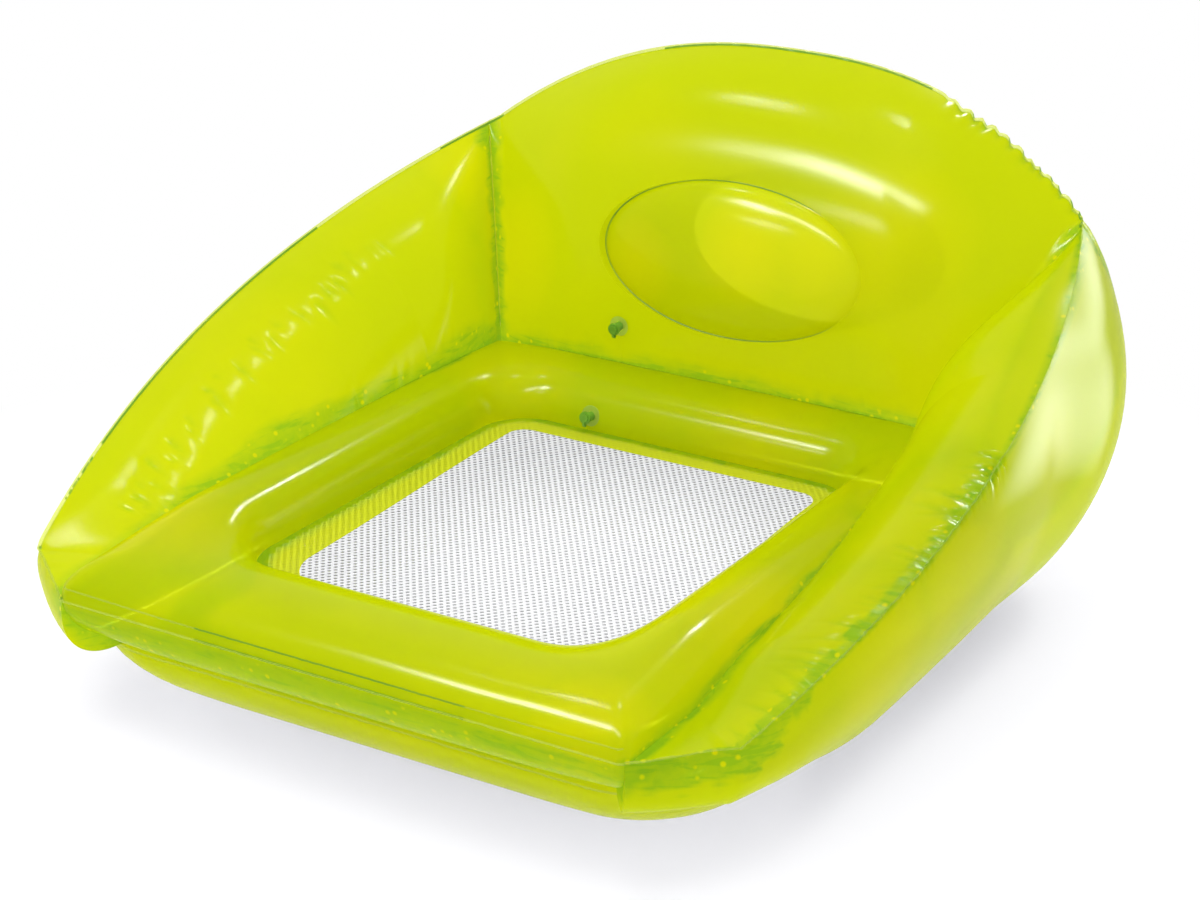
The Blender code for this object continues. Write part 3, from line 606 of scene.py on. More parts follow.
# %% Height of the seam
def seam_height(point):
    """Height of the seam above the floor at a point of its plan."""
    if point.y <= -tip_reach:
        share = (point.y + front_reach) / (front_reach - tip_reach)
        return mix(seat_middle, tip_height, eased(share))
    if point.y < corner_reach and abs(point.x) > corner_half_width:
        share = (point.y + tip_reach) / (corner_reach + tip_reach)
        return mix(tip_height, corner_height, share) + ridge_rise * 4 * share * (1 - share)
    across = min(abs(point.x) / corner_half_width, 1)
    return mix(back_height, corner_height, across ** back_roundness)


def ridge(station):
    """Reach and height of the seam where a station's ray meets it."""
    station = on_right(station)
    for a, b in zip(outline, outline[1:]):
        reach = reach_to_line(station, a, b - a)
        if reach is math.inf:
            continue
        met = station[0] + station[1] * reach
        along = (met - a).dot(b - a)
        if -1e-7 <= along <= (b - a).length_squared + 1e-7:
            return reach, seam_height(met)
    raise ValueError("a station's ray misses the outline")


front_reach_found, front_height_found = ridge(end_station(well, 0, True))
print("front seam", round(front_reach_found, 3), "m before the well,", round(front_height_found, 3), "m high")

# %% [markdown]
# ## Ribs
#
# A tube's rib is a squarish oval, flattened where it lies on the tube below. An arm or backrest
# rib runs up the inner panel, over the welded ridge and down the outer panel, each panel a Bezier
# curve that stands out from the straight line by its swell. The swell dies away at the corner
# crease, where the arm and the backrest are welded to each other.

# %% Tube ribs
def turns(count):
    """Angles all the way round, in equal steps."""
    return [2 * math.pi * i / count for i in range(count)]


def seat_reach(station):
    """Width of the seat tube at a station: a box in plan, cut by the chair's own outline."""
    station = on_right(station)
    side = reach_to_line(station, Vector((well[0] + side_reach, 0)), Vector((0, 1)))
    if station[1].y > 0:
        return min(side, reach_to_line(station, Vector((0, well[2] + back_depth)), Vector((1, 0))))
    return min(side, ridge(station)[0])


def seat_rib(station, spread=0.0, count=52):
    """Rib of the seat tube: a squarish oval, pressed flat where it lies on the base tube."""
    edge = (well[0] + side_reach, front_reach, well[2] + back_depth, crest_radius, crest_radius)
    width = seat_reach(station)
    crest = min(reach_to_round(on_right(station), edge), width) / 2
    outer = width - gap - crest + spread
    low = seat_height / 2 + spread
    high = low - seat_drop * max(-station[1].y, 0) ** 2
    rib = []
    for turn in turns(count):
        c, s = math.cos(turn), math.sin(turn)
        out = math.copysign(abs(c) ** (2 / squareness), c)
        up = math.copysign(abs(s) ** (2 / squareness), s) * (high if s > 0 else low)
        rib.append((crest + out * (outer if out > 0 else crest + spread), seat_middle + up))
    return rib


def base_rib(station, spread=0.0, steps=12):
    """Rib of the base tube: flat on top, round below and pressed flat on the floor."""
    width = reach_to_round(station, base_outer)
    flat = width * floor_share
    lip = base_height - lip_height
    outer, inner = [], []
    for i in range(steps + 1):
        height = lip * (1 - math.sin(quarter_turn * i / steps))
        drop = 1 - min(height / lip, 1)
        drawn = 1 - (1 - drop ** leanness) ** (1 / leanness)
        outer.append((mix(width, flat + floor_width, drawn) + spread, height))
        inner.append((mix(0, flat, drawn) - spread, height))
    top = base_height + spread
    across = [mix(lip_width - spread, width - lip_width + spread, i / steps) for i in range(steps + 1)]
    rib = [(reach, top) for reach in across] + outer[:-1]
    return rib + [(outer[-1][0], -spread), (inner[-1][0], -spread)] + inner[-2::-1]


# %% Arm and backrest ribs
panel_steps = 30
panel_start = 0.026
foot_lift_end, foot_low_start = -0.385, -0.130
foot_height, foot_inset_high, foot_inset_low = 0.030, 0.004, 0.018
heel_high, heel_low = 0.026, 0.040
tip_swell, arm_swell, back_low_swell, back_high_swell = 0.014, 0.105, 0.080, 0.138
tip_full, arm_full, crease_full, back_full = 0.050, 0.082, 0.127, 0.150
arm_shoulder, back_shoulder = 0.85, 1.25


def bulged(start, finish, low, high, steps):
    """A full curve from start to finish that stands out to its left by low, then high."""
    a, b = Vector(start), Vector(finish)
    along = b - a
    left = Vector((-along.y, along.x)).normalized()
    p1, p2 = a + along * 0.28 + left * low, a + along * 0.76 + left * high
    points = []
    for i in range(steps + 1):
        t = i / steps
        points.append(a * (1 - t) ** 3 + p1 * 3 * t * (1 - t) ** 2 + p2 * 3 * t * t * (1 - t) + b * t ** 3)
    return [tuple(p) for p in points]


def bolster_rib(station, back_share, pinch):
    """Rib of an arm or the backrest: up the inner panel, over the ridge and down the outer one."""
    top_reach, top = ridge(station)
    inner = seat_reach(station)
    outer_y = station[0].y + station[1].y * reach_to_round(station, base_outer)
    lowered = eased((outer_y - foot_lift_end) / (foot_low_start - foot_lift_end))
    along = (station[0].y + station[1].y * top_reach + tip_reach) / (corner_reach + tip_reach)
    swell = mix(tip_swell, arm_swell, eased(along * 1.1)) * eased(along / 0.14)
    low = mix(swell, back_low_swell, back_share) * pinch
    high = mix(swell, back_high_swell, back_share) * pinch
    start = (inner - panel_start, seat_middle)
    inside = bulged(start, (top_reach, top), low, high, panel_steps)
    foot = mix(base_height + gap, foot_height, lowered)
    foot_reach = reach_to_round(station, base_outer, mix(foot_inset_high, foot_inset_low, lowered))
    foot_reach = min(foot_reach, top_reach - foot_inset_high)
    full = mix(tip_full, arm_full, eased(along))
    if back_share <= 0.5:
        full = mix(full, crease_full, back_share * 2)
    else:
        full = mix(crease_full, back_full, back_share * 2 - 1)
    shoulder = mix(arm_shoulder, back_shoulder, min(back_share * 2, 1))
    outside = bulged((top_reach, top), (foot_reach, foot), full * shoulder, full, panel_steps)
    heel = (foot_reach - mix(heel_high, heel_low, lowered), foot)
    waist = (min(heel[0], inner - panel_start), mix(foot, seat_middle, 0.4))
    return inside + outside[1:] + [heel, waist]


def crease_pinch(angle):
    """How far the inner panel still swells near the weld crease between arm and backrest."""
    away = min(abs(angle - crease_angle) / pinch_angle, 1)
    return mix(math.sqrt(max(1 - (1 - away) ** 2, 0)), 1, pinch_share)


# %% Rows of ribs for the arms and the backrest
rib_step = 0.0028
tip_ribs, corner_ribs, crease_ribs, back_corner_ribs = 22, 44, 72, 60
crowding, corner_share = 1.25, 0.7


def arm_rows():
    """Left arm: stations, back shares and pinches, from the cut corner to the crease."""
    start = corner_turn(well, front_half_width, front_reach) + arm_start_turn
    tip = corner_turn(well, tip_half_width, tip_reach)
    angles = [mix(start, tip, i / tip_ribs) for i in range(tip_ribs)]
    angles += [tip * (1 - i / corner_ribs) for i in range(corner_ribs)]
    rows = [(corner_station(well, angle, True), 0.0, 1.0) for angle in angles]
    sides = round((well[1] + well[2] - well[3] - well[4]) / rib_step)
    rows += [(side_station(well, i / sides), 0.0, 1.0) for i in range(sides)]
    for i in range(crease_ribs + 1):
        angle = crease_angle * (1 - (1 - i / crease_ribs) ** crowding)
        back_share = eased(angle / crease_angle) / 2
        rows.append((corner_station(well, angle, False), back_share, crease_pinch(angle)))
    return rows


def back_rows():
    """Left half of the backrest, from the crease to the middle."""
    rows = []
    for i in range(back_corner_ribs):
        share = (i / back_corner_ribs) ** crowding
        angle = mix(crease_angle, quarter_turn, share)
        back_share = (1 + eased(share * corner_share)) / 2
        rows.append((corner_station(well, angle, False), back_share, crease_pinch(angle)))
    steps = round((well[0] - well[4]) / rib_step)
    for i in range(steps + 1):
        back_share = (1 + eased(mix(corner_share, 1, i / steps))) / 2
        rows.append((end_station(well, 1 - i / steps, False), back_share, 1.0))
    return rows


print("ribs:", len(arm_rows()), "in an arm,", len(back_rows()), "in half the backrest")

# %% [markdown]
# ## Skins
#
# A row of ribs is a grid of points, so numpy can hold it as one array: row, point, coordinate.
# Skins are made from such a grid. The grid also gives each point its outward normal, by the
# cross product of its two grid directions, and that is the way in which puckers move it.

# %% Grids
sharp_angle = math.radians(50)
merge_distance = 0.00002


def grid_of(stations, ribs):
    """Points of a row of ribs in space, as an array of rows and points."""
    rows = []
    for (place, outward), rib in zip(stations, ribs):
        rows.append([(place.x + outward.x * r, place.y + outward.y * r - model_shift, z) for r, z in rib])
    return np.array(rows)


def flipped(grid):
    """The grid's mirror image on the other side. Its rows run the other way, so it still faces out."""
    turned = grid[::-1].copy()
    turned[..., 0] *= -1
    return turned


def normals_of(grid, closed):
    """Outward normals of a grid of closed ribs."""
    if closed:
        along = np.roll(grid, -1, 0) - np.roll(grid, 1, 0)
    else:
        along = np.gradient(grid, axis=0)
    across = np.roll(grid, -1, 1) - np.roll(grid, 1, 1)
    found = np.cross(along, across)
    length = np.linalg.norm(found, axis=2, keepdims=True)
    found = found / np.maximum(length, 1e-12)
    middle = grid.mean(axis=1, keepdims=True)
    facing = np.sign((found * (grid - middle)).sum())
    return found * (facing if facing else 1)


def as_object(name, verts, faces, material=None):
    """A named object from points and faces, shaded smooth up to the sharp angle."""
    mesh = bpy.data.meshes.new(name)
    mesh.from_pydata([tuple(v) for v in verts], [], faces)
    bm = bmesh.new()
    bm.from_mesh(mesh)
    bmesh.ops.remove_doubles(bm, verts=bm.verts, dist=merge_distance)
    bmesh.ops.recalc_face_normals(bm, faces=bm.faces)
    bm.to_mesh(mesh)
    bm.free()
    mesh.shade_smooth()
    mesh.set_sharp_from_angle(angle=sharp_angle)
    made = bpy.data.objects.new(name, mesh)
    bpy.context.scene.collection.objects.link(made)
    if material:
        mesh.materials.append(material)
    return made


def grid_faces(rows, count, closed=False):
    """Faces between neighbouring rows of closed ribs."""
    faces = []
    for i in range(rows if closed else rows - 1):
        k = (i + 1) % rows
        for j in range(count):
            m = (j + 1) % count
            faces.append((i * count + j, i * count + m, k * count + m, k * count + j))
    return faces


def skin(name, grid, closed, material=None):
    """A closed skin over a grid of closed ribs. Open rows get flat ends."""
    rows, count, _ = grid.shape
    faces = grid_faces(rows, count, closed)
    if not closed:
        faces.append(tuple(range(count)))
        faces.append(tuple((rows - 1) * count + j for j in reversed(range(count))))
    return as_object(name, grid.reshape(-1, 3), faces, material)


# %% Cuts and places in the frame
def applied(piece):
    """Bakes a piece's modifiers into its mesh."""
    graph = bpy.context.evaluated_depsgraph_get()
    done = bpy.data.meshes.new_from_object(piece.evaluated_get(graph), depsgraph=graph)
    piece.modifiers.clear()
    old, piece.data = piece.data, done
    done.name = piece.name
    bpy.data.meshes.remove(old)
    return piece


def cut(piece, *tools):
    """Cuts a piece with closed tools, which are kept."""
    for tool in tools:
        step = piece.modifiers.new("cut", "BOOLEAN")
        step.operation, step.solver, step.object = "DIFFERENCE", "EXACT", tool
    applied(piece)
    piece.data.shade_smooth()
    piece.data.set_sharp_from_angle(angle=sharp_angle)
    return piece


def show(piece, *replaced, slot="film"):
    """Lets a piece ride on the chair's body and stand for CAD nodes, if any."""
    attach(piece, "chair")
    if replaced:
        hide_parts(*replaced)
        print(piece.name, "stands for", ", ".join(replaced), "with", len(piece.data.polygons), "faces")
    return piece


# %% [markdown]
# ## Puckers
#
# A weld holds two flat sheets edge to edge. When air bends that edge into a curve, the sheets have
# more length there than they need, and the spare film gathers in small folds that run away from
# the weld. Each fold is a sharp valley with full cushions on both sides. It is deepest at the weld
# and dies away after a few centimetres. Cloth simulation could find such folds, but would put
# them anywhere; here they go where the photograph shows them, each with its own place, width,
# length, depth and slant, from a seeded random generator that repeats exactly.

# %% Folds along a weld
fold_start = 0.01
valley_sharpness, fade_sharpness = 1.4, 1.5


def folds(seed, start, stop, spacing, length, depth, width=0.35, slant=0.35, begin=0.0):
    """Folds between two places of a weld: rows of place, half width, begin, length, depth and slant."""
    draw = random.Random(seed)
    found, place = [], start
    while place < stop:
        size = draw.uniform(0.6, 1.4)
        found.append((place, spacing * width * draw.uniform(0.7, 1.3), begin * draw.uniform(0.8, 1.2),
                      length * size * draw.uniform(0.6, 1.2), depth * size, draw.uniform(-slant, slant)))
        place += spacing * draw.uniform(0.55, 1.45)
    return found


def fold_depth(along, away, found):
    """How far folds press the film in, at places along a weld and distances away from it."""
    total = np.zeros(np.broadcast(along, away).shape)
    for place, half_width, begin, length, depth, slant in found:
        reach = 4 * half_width + abs(slant) * (begin + length)
        close = np.flatnonzero(np.abs(along[:, 0] - place) < reach)
        if not len(close):
            continue
        rows = slice(close[0], close[-1] + 1)
        offset = np.abs(along[rows] - place - slant * away[rows]) / half_width
        past = away[rows] - begin
        fade = np.clip(1 - past / length, 0, 1) * np.clip(1 + past / fold_start, 0, 1)
        valley = depth * np.exp(-offset ** valley_sharpness) * fade ** fade_sharpness
        total[rows] = np.maximum(total[rows], valley)
    return total


def lengths(points, axis):
    """Running length along one direction of a grid."""
    steps = np.linalg.norm(np.diff(points, axis=axis), axis=-1)
    pad = [(0, 0)] * steps.ndim
    pad[axis] = (1, 0)
    return np.cumsum(np.pad(steps, pad), axis=axis)


def puckered(grid, closed, weld, parts):
    """Presses folds into a grid. weld is the rib point they start from, parts are (first, last, folds)."""
    normals = normals_of(grid, closed)
    along = lengths(grid[:, weld], 0)[:, None]
    across = lengths(grid, 1)
    away = np.abs(across - across[:, weld:weld + 1])
    moved = grid.copy()
    for first, last, found in parts:
        depth = fold_depth(along, away[:, first:last], found)
        moved[:, first:last] -= normals[:, first:last] * depth[..., None]
    return moved


# %% [markdown]
# ## Where films touch, with painted shade and painted light
#
# Two films that press on each other look darker and greener than one, like wet paper. So every
# skin gets a value at each point that says how near the next film is, and the film material mixes
# its colour by that value. The same value also carries painted shade in the valleys of folds. A
# ragged edge, from a noise of the place, keeps the bands from looking drawn with a ruler. A second
# value, the glow, is painted light: warm spots where light gathers.

# %% Stored values
def store(piece, name, values):
    """Stores a value at each point of a piece, for its material to read."""
    layer = piece.data.attributes.new(name, "FLOAT", "POINT")
    layer.data.foreach_set("value", values.astype(np.float32))


def set_touch_and_shade(piece, values):
    """Stores a touch value from 0 to 1 at each point of a piece, which also holds any painted shade of folds.
    """
    store(piece, "touch_and_shade", np.clip(values, 0, 1))


def points_of(piece):
    """Places of a piece's points, as an array."""
    found = np.zeros(len(piece.data.vertices) * 3, np.float32)
    piece.data.vertices.foreach_get("co", found)
    return found.reshape(-1, 3)


def set_painted_glow(piece, spots):
    """Painted light, warm spots where light gathers: each has a middle, a radius and a strength."""
    points = points_of(piece)
    total = np.zeros(len(points))
    for place, radius, strength in spots:
        away = np.linalg.norm(points - np.array(place), axis=1) / radius
        total = np.maximum(total, strength * np.clip(1 - away, 0, 1) ** 0.7)
    store(piece, "glow", total)


def finder(points):
    """A search tree that finds the nearest of some points."""
    tree = KDTree(len(points))
    for i, p in enumerate(points):
        tree.insert(Vector(p), i)
    tree.balance()
    return tree


# %% Touch values and painted shade of folds
ragged_waves, ragged_seed = 6, 11
plan_middle = 0.02


def ragged(points, size):
    """A smooth noise from about -1 to 1 at each point, with waves of about a size."""
    total = np.zeros(len(points))
    draw = random.Random(ragged_seed)
    for i in range(ragged_waves):
        way = np.array([draw.uniform(-1, 1) for _ in range(3)])
        total += np.sin(points @ (way / np.linalg.norm(way)) * 2 * math.pi / (size * (0.5 + 0.3 * i)) + i)
    return total / 3


def near_touch(piece, other, reach, size):
    """Touch values of a piece by its distance to another one."""
    tree = BVHTree.FromObject(other, bpy.context.evaluated_depsgraph_get())
    points = points_of(piece)
    away = np.array([tree.find_nearest(Vector(p), reach * 3)[3] or reach * 3 for p in points])
    edge = reach * (1 + 0.45 * ragged(points, size))
    return np.clip(1.5 - away / np.maximum(edge, reach * 0.2), 0, 1)


def from_middle(x, y):
    """Distance of a place of the plan from the middle of the seat."""
    return math.hypot(x, y + plan_middle)


def weld_touch(piece, line, width_at, side):
    """Touch values on one side of a weld line, as wide as width_at says at each length of the line."""
    tree = finder(line)
    places = lengths(np.array(line), 0)
    points = points_of(piece)
    values = np.zeros(len(points))
    widest = max(width_at(p) for p in places)
    for i, p in enumerate(points):
        found, index, away = tree.find(Vector(p))
        if away > widest * 1.6 or side * (from_middle(p[0], p[1]) - from_middle(found.x, found.y)) < 0:
            continue
        values[i] = 1.5 - away / max(width_at(places[index]), 1e-5)
    return np.clip((values - 0.5) * 3 + 0.9 * ragged(points, 0.02), 0, 1) * (values > 0)


def fold_valley_shade(piece, smooth, pressed, full, strength):
    """Painted shade in the valleys of folds, as touch values: strength where the film was pressed in by full
    or more.
    """
    depth = np.linalg.norm(smooth - pressed, axis=2)
    tree = finder(pressed.reshape(-1, 3))
    values = np.clip(depth.ravel() / full, 0, 1) * strength
    return np.array([values[tree.find(Vector(p))[1]] for p in points_of(piece)])


# %% [markdown]
# ## Holes for the valves
#
# On the real chair each valve's round collar is welded over a hole in the film, and its stem goes
# through that hole into the chamber. So the skin gets a real hole too: a short drum on the valve's
# own axis cuts it, and the floor and wall of the pocket that the cut leaves are deleted. Then
# nothing stands in the way when the stem is pushed in or the plug swings. The axis is measured on
# the collar: it is the direction in which the collar's points spread least.

# %% Valve holes
hole_radius, hole_depth, hole_turns = 0.0124, 0.006, 48
radius_slack, level_slack = 0.0001, 0.00001


def open_for_valve(piece, valve):
    """Opens the film under a valve's flange, where the stem goes through it."""
    flange = nodes[valve + "_flange"]
    points = np.array([flange.matrix_world @ v.co for v in flange.data.vertices])
    middle = points.mean(axis=0)
    axis = Vector(np.linalg.svd(points - middle)[2][2])
    at_valve = Matrix.Translation(middle) @ axis.to_track_quat("Z", "Y").to_matrix().to_4x4()
    rows = []
    for level in (-hole_depth, hole_depth):
        ring = [(hole_radius * math.cos(t), hole_radius * math.sin(t), level) for t in turns(hole_turns)]
        rows.append([tuple(at_valve @ Vector(p)) for p in ring])
    tool = skin(valve + "_tool", np.array(rows), False)
    cut(piece, tool)
    bpy.data.objects.remove(tool, do_unlink=True)
    to_valve = at_valve.inverted()
    bm = bmesh.new()
    bm.from_mesh(piece.data)
    pocket_ring = set()
    for v in bm.verts:
        local = to_valve @ v.co
        near_wall = math.hypot(local.x, local.y) < hole_radius + radius_slack
        if near_wall and abs(abs(local.z) - hole_depth) < level_slack:
            pocket_ring.add(v)
    pocket = [f for f in bm.faces if any(v in pocket_ring for v in f.verts)]
    bmesh.ops.delete(bm, geom=pocket, context="FACES")
    bm.to_mesh(piece.data)
    bm.free()
    print("hole for", valve, "in", piece.name, "took out", len(pocket), "faces")
    return piece


# %% [markdown]
# ## The two air rings
#
# The base tube lies on the floor and the seat tube lies on it. Both are closed rings of ribs. The
# seat tube is gathered below its front weld and, by shallow folds, just behind the well's front
# corners. Copies of both rings that are wider by a hair then serve as tools: they cut the arms
# and the backrest, so these lie against the rings without running through them.

# %% Base tube and seat tube
inner_edge, front_wall_points, inner_wall_points = 26, (39, 52), (16, 30)
wall_reach, corner_place, corner_spread = 0.40, 0.36, 0.05

base_line = full_round(base_bore, 0.0045)
base_grid = grid_of(base_line, [base_rib(s) for s in base_line])
base_film = open_for_valve(skin("base_tube_film", base_grid, True, film), "base_valve")
show(base_film, "base_tube")

seat_line = full_round(well, 0.0032)
smooth_seat = grid_of(seat_line, [seat_rib(s) for s in seat_line])
round_length = float(lengths(smooth_seat[:, 0], 0)[-1])
wall_folds = folds(9, 0.0, wall_reach, 0.0095, 0.030, 0.0011, slant=0.2)
wall_folds += folds(10, round_length - wall_reach, round_length, 0.0095, 0.030, 0.0011, slant=0.2)
corner_folds = []
for place in (corner_place, round_length - corner_place):
    corner_folds += folds(21, place - corner_spread, place + corner_spread, 0.012, 0.030, 0.0012)
seat_grid = puckered(smooth_seat, True, 0, [(*front_wall_points, wall_folds)])
seat_grid = puckered(seat_grid, True, inner_edge, [(*inner_wall_points, corner_folds)])
seat_film = open_for_valve(skin("seat_tube_film", seat_grid, True, film), "seat_valve")
show(seat_film, "seat_tube")

# %% Tools as wide as the rings
wide_seat = grid_of(seat_line[::2], [seat_rib(s, gap) for s in seat_line[::2]])
wide_base = grid_of(base_line, [base_rib(s, gap) for s in base_line])
tools = [skin("seat_tube_tool", wide_seat, True), skin("base_tube_tool", wide_base, True)]
print("tools:", ", ".join(tool.name for tool in tools))

# %% [markdown]
# ## Arms
#
# Each arm is one open row of ribs from the cut front corner to the crease. Left and right come
# from the same smooth grid, but their folds differ, as on the real chair. The left arm, which is
# the near one in the photograph, is gathered along the front half of its seam. The right arm's
# inner panel has short, slanted folds well below the seam, which break its long highlight into
# strokes.

# %% Arms
inside, outside = (0, panel_steps + 1), (panel_steps, 2 * panel_steps)
foot_point, foot_points = 4, (4, 22)

rows = arm_rows()
arm_line = [row[0] for row in rows]
arm_grid = grid_of(arm_line, [bolster_rib(*row) for row in rows])
ridge_length = float(lengths(arm_grid[:, panel_steps], 0)[-1])
print("arm ridge", round(ridge_length, 3), "m long, grid", arm_grid.shape)
left_inside = folds(3, 0.10, 0.57, 0.0115, 0.062, 0.0030, slant=0.4)
left_inside += folds(13, 0.545, 0.575, 0.008, 0.030, 0.0040)
left_outside = folds(14, 0.02, 0.13, 0.012, 0.045, 0.0022) + folds(15, 0.545, 0.575, 0.008, 0.016, 0.0030)
right_inside = folds(5, 0.16, 0.74, 0.0150, 0.034, 0.0026, begin=0.078, slant=0.3)
right_inside += folds(6, 0.03, 0.12, 0.016, 0.030, 0.0010)
right_outside = folds(16, 0.03, 0.11, 0.016, 0.020, 0.0010)
foot_folds = folds(17, 0.12, 0.95, 0.034, 0.045, 0.0016, width=0.12)
left_skin = puckered(arm_grid, False, panel_steps, [(*inside, left_inside), (*outside, left_outside)])
right_skin = puckered(arm_grid, False, panel_steps, [(*inside, right_inside), (*outside, right_outside)])
left_skin = puckered(left_skin, False, foot_point, [(*foot_points, foot_folds)])
right_skin = puckered(right_skin, False, foot_point, [(*foot_points, foot_folds)])
left_arm = cut(skin("left_arm_film", left_skin, False, film), *tools)
right_arm = cut(skin("right_arm_film", flipped(right_skin), False, film), *tools)
show(left_arm, "left_arm_rest")
show(right_arm, "right_arm_rest")

# %% [markdown]
# ## Backrest
#
# The backrest is made of the same kind of rib, mirrored about the middle. Its weld is drawn in by
# a row of notches next to the left arm, and shallow folds rise from the seat.

# %% Backrest
rows = back_rows()
half = [row[0] for row in rows]
half_ribs = [bolster_rib(*row) for row in rows]
back_line = half + [mirrored(s) for s in reversed(half[:-1])]
back_grid = grid_of(back_line, half_ribs + half_ribs[-2::-1])
top_length = float(lengths(back_grid[:, panel_steps], 0)[-1])
print("back ridge", round(top_length, 3), "m long, grid", back_grid.shape)
notches = folds(7, 0.004, 0.25, 0.0175, 0.030, 0.0028, width=0.30)
back_skin = puckered(back_grid, False, panel_steps, [(*inside, notches), (*outside, notches)])
waist_folds = folds(18, 0.03, top_length - 0.03, 0.045, 0.035, 0.0014, width=0.10)
back_skin = puckered(back_skin, False, foot_point, [(4, 20, waist_folds)])
back_film = skin("backrest_film", back_skin, False, film)

# %% [markdown]
# ## Headrest
#
# An oval sleeve of film runs through the backrest, and a separate air pillow fills it. Its two
# oval ends bulge a little. The sleeve is one open tube of film; the pillow is a closed drum whose
# ends are ribs of a dome that shrink to a point. A fine weld runs round each end. The pillow's
# sides lie in the sleeve, and its back isn't seen from the front, so both get the sleeve's clearer
# film and the layers don't add up to a dark one.

# %% Headrest shape
pillow_half_width, pillow_half_height, pillow_depth = 0.175, 0.093, 0.214
pillow_place = Vector((0, 0.338 - model_shift, 0.350))
pillow_tilt = math.radians(11)
pillow_frame = Matrix.Translation(pillow_place) @ Matrix.Rotation(quarter_turn - pillow_tilt, 4, "X")
wall_gap = gap + 0.0008
sleeve_steps, dome_steps = 24, 14
back_dome, front_dome = 0.012, 0.030
tool_overreach = 0.09
print("pillow", 2 * pillow_half_width, "m wide and", pillow_depth, "m deep")


def drum_rows(levels, spread, count=120):
    """Rings of an oval drum: levels are pairs of the ring's share of the full oval and its place."""
    rows = []
    for share, level in levels:
        ring = []
        for turn in turns(count):
            across = (pillow_half_width + spread) * share * math.cos(turn)
            up = (pillow_half_height + spread) * share * math.sin(turn)
            ring.append(tuple(pillow_frame @ Vector((across, up, level))))
        rows.append(ring)
    return np.array(rows)


def spread_levels(start, stop, steps):
    """Full rings from one place to another."""
    return [(1.0, mix(start, stop, i / steps)) for i in range(steps + 1)]


# %% Hole through the backrest
tool_levels = spread_levels(-pillow_depth - tool_overreach, tool_overreach, 2)
drum_tool = skin("drum_tool", drum_rows(tool_levels, 0), False)
back_film = open_for_valve(cut(back_film, *tools, drum_tool), "back_valve")
show(back_film, "backrest")
for tool in tools + [drum_tool]:
    bpy.data.objects.remove(tool, do_unlink=True)

# %% Sleeve and pillow
wall_rows = drum_rows(spread_levels(-pillow_depth, 0, sleeve_steps), -gap)
wall_faces = grid_faces(*wall_rows.shape[:2])
wall_film = as_object("headrest_wall_film", wall_rows.reshape(-1, 3), wall_faces, sleeve_look)
show(wall_film, "headrest_wall", slot="double_film")

dome = [quarter_turn * i / dome_steps for i in range(1, dome_steps)]
levels = [(math.sin(t), -pillow_depth - back_dome * math.cos(t)) for t in dome]
levels += spread_levels(-pillow_depth, 0, sleeve_steps)
levels += [(math.sin(t), front_dome * math.cos(t)) for t in reversed(dome)]
pillow = skin("headrest_pillow_film", drum_rows(levels, -wall_gap - gap), False, pillow_look)
pillow.data.materials.append(sleeve_look)
to_drum = pillow_frame.inverted()
for face in pillow.data.polygons:
    face.material_index = int(-pillow_depth - 0.02 < (to_drum @ face.center).z < -0.0005)
show(pillow, "headrest_pillow")

# %% [markdown]
# ## Measuring the touch and painting shade into folds
#
# All the air chambers exist now, so each one is compared with its neighbours, and its value rises
# to 1 where they meet. It also rises beside the gathered part of the left arm's weld, and it paints
# shade into the valleys of the folds; the seat tube's front wall, which is darker as a whole, gets
# an even value. The numbers are widths in metres of the bands that the photograph shows, and each
# product at the end of a line is how strong such a band is. The warm spots are painted light, at
# places on the chair where the photograph is yellower.

# %% Touch of the rings, with painted shade in their folds
front_wall_line = -0.455
front_wall_touch = 0.4

set_touch_and_shade(base_film, near_touch(base_film, seat_film, 0.004, 0.05) * 0.8)
bands = near_touch(seat_film, base_film, 0.003, 0.05)
for other in (left_arm, right_arm, back_film):
    bands = np.maximum(bands, near_touch(seat_film, other, 0.006, 0.06) * 0.7)
places = points_of(seat_film)
front_wall = (places[:, 1] < front_wall_line) & (places[:, 2] < seat_middle)
bands = np.maximum(bands, np.where(front_wall, front_wall_touch, 0))
set_touch_and_shade(seat_film, np.maximum(bands, fold_valley_shade(seat_film, smooth_seat, seat_grid, 0.0015, 0.9)))
print("touch values of the rings set")


# %% Touch of the arms and the backrest, with painted shade in their folds
def left_band(place):
    """Width of the pressed band outside the left arm's seam, wide at the front and gone behind."""
    return mix(0.040, 0.0, eased((place - 0.05) / 0.24))


def inner_band(place):
    """Width of the gathered band inside the left arm's seam."""
    return 0.016 * eased((place - 0.05) / 0.08) * eased((0.60 - place) / 0.03)


left_ridge = left_skin[:, panel_steps]
right_ridge = flipped(right_skin)[:, panel_steps]
set_touch_and_shade(left_arm, np.maximum.reduce([
    near_touch(left_arm, seat_film, 0.012, 0.06) * 0.7,
    near_touch(left_arm, seat_film, 0.004, 0.03),
    near_touch(left_arm, back_film, 0.010, 0.05) * 0.7,
    weld_touch(left_arm, left_ridge, left_band, 1) * 0.75,
    weld_touch(left_arm, left_ridge, inner_band, -1) * 0.7,
    fold_valley_shade(left_arm, arm_grid, left_skin, 0.0030, 0.6),
]))
set_touch_and_shade(right_arm, np.maximum.reduce([
    near_touch(right_arm, seat_film, 0.020, 0.09) * 0.75,
    near_touch(right_arm, seat_film, 0.005, 0.03),
    near_touch(right_arm, back_film, 0.014, 0.05) * 0.85,
    fold_valley_shade(right_arm, flipped(arm_grid), flipped(right_skin), 0.0030, 0.4),
]))
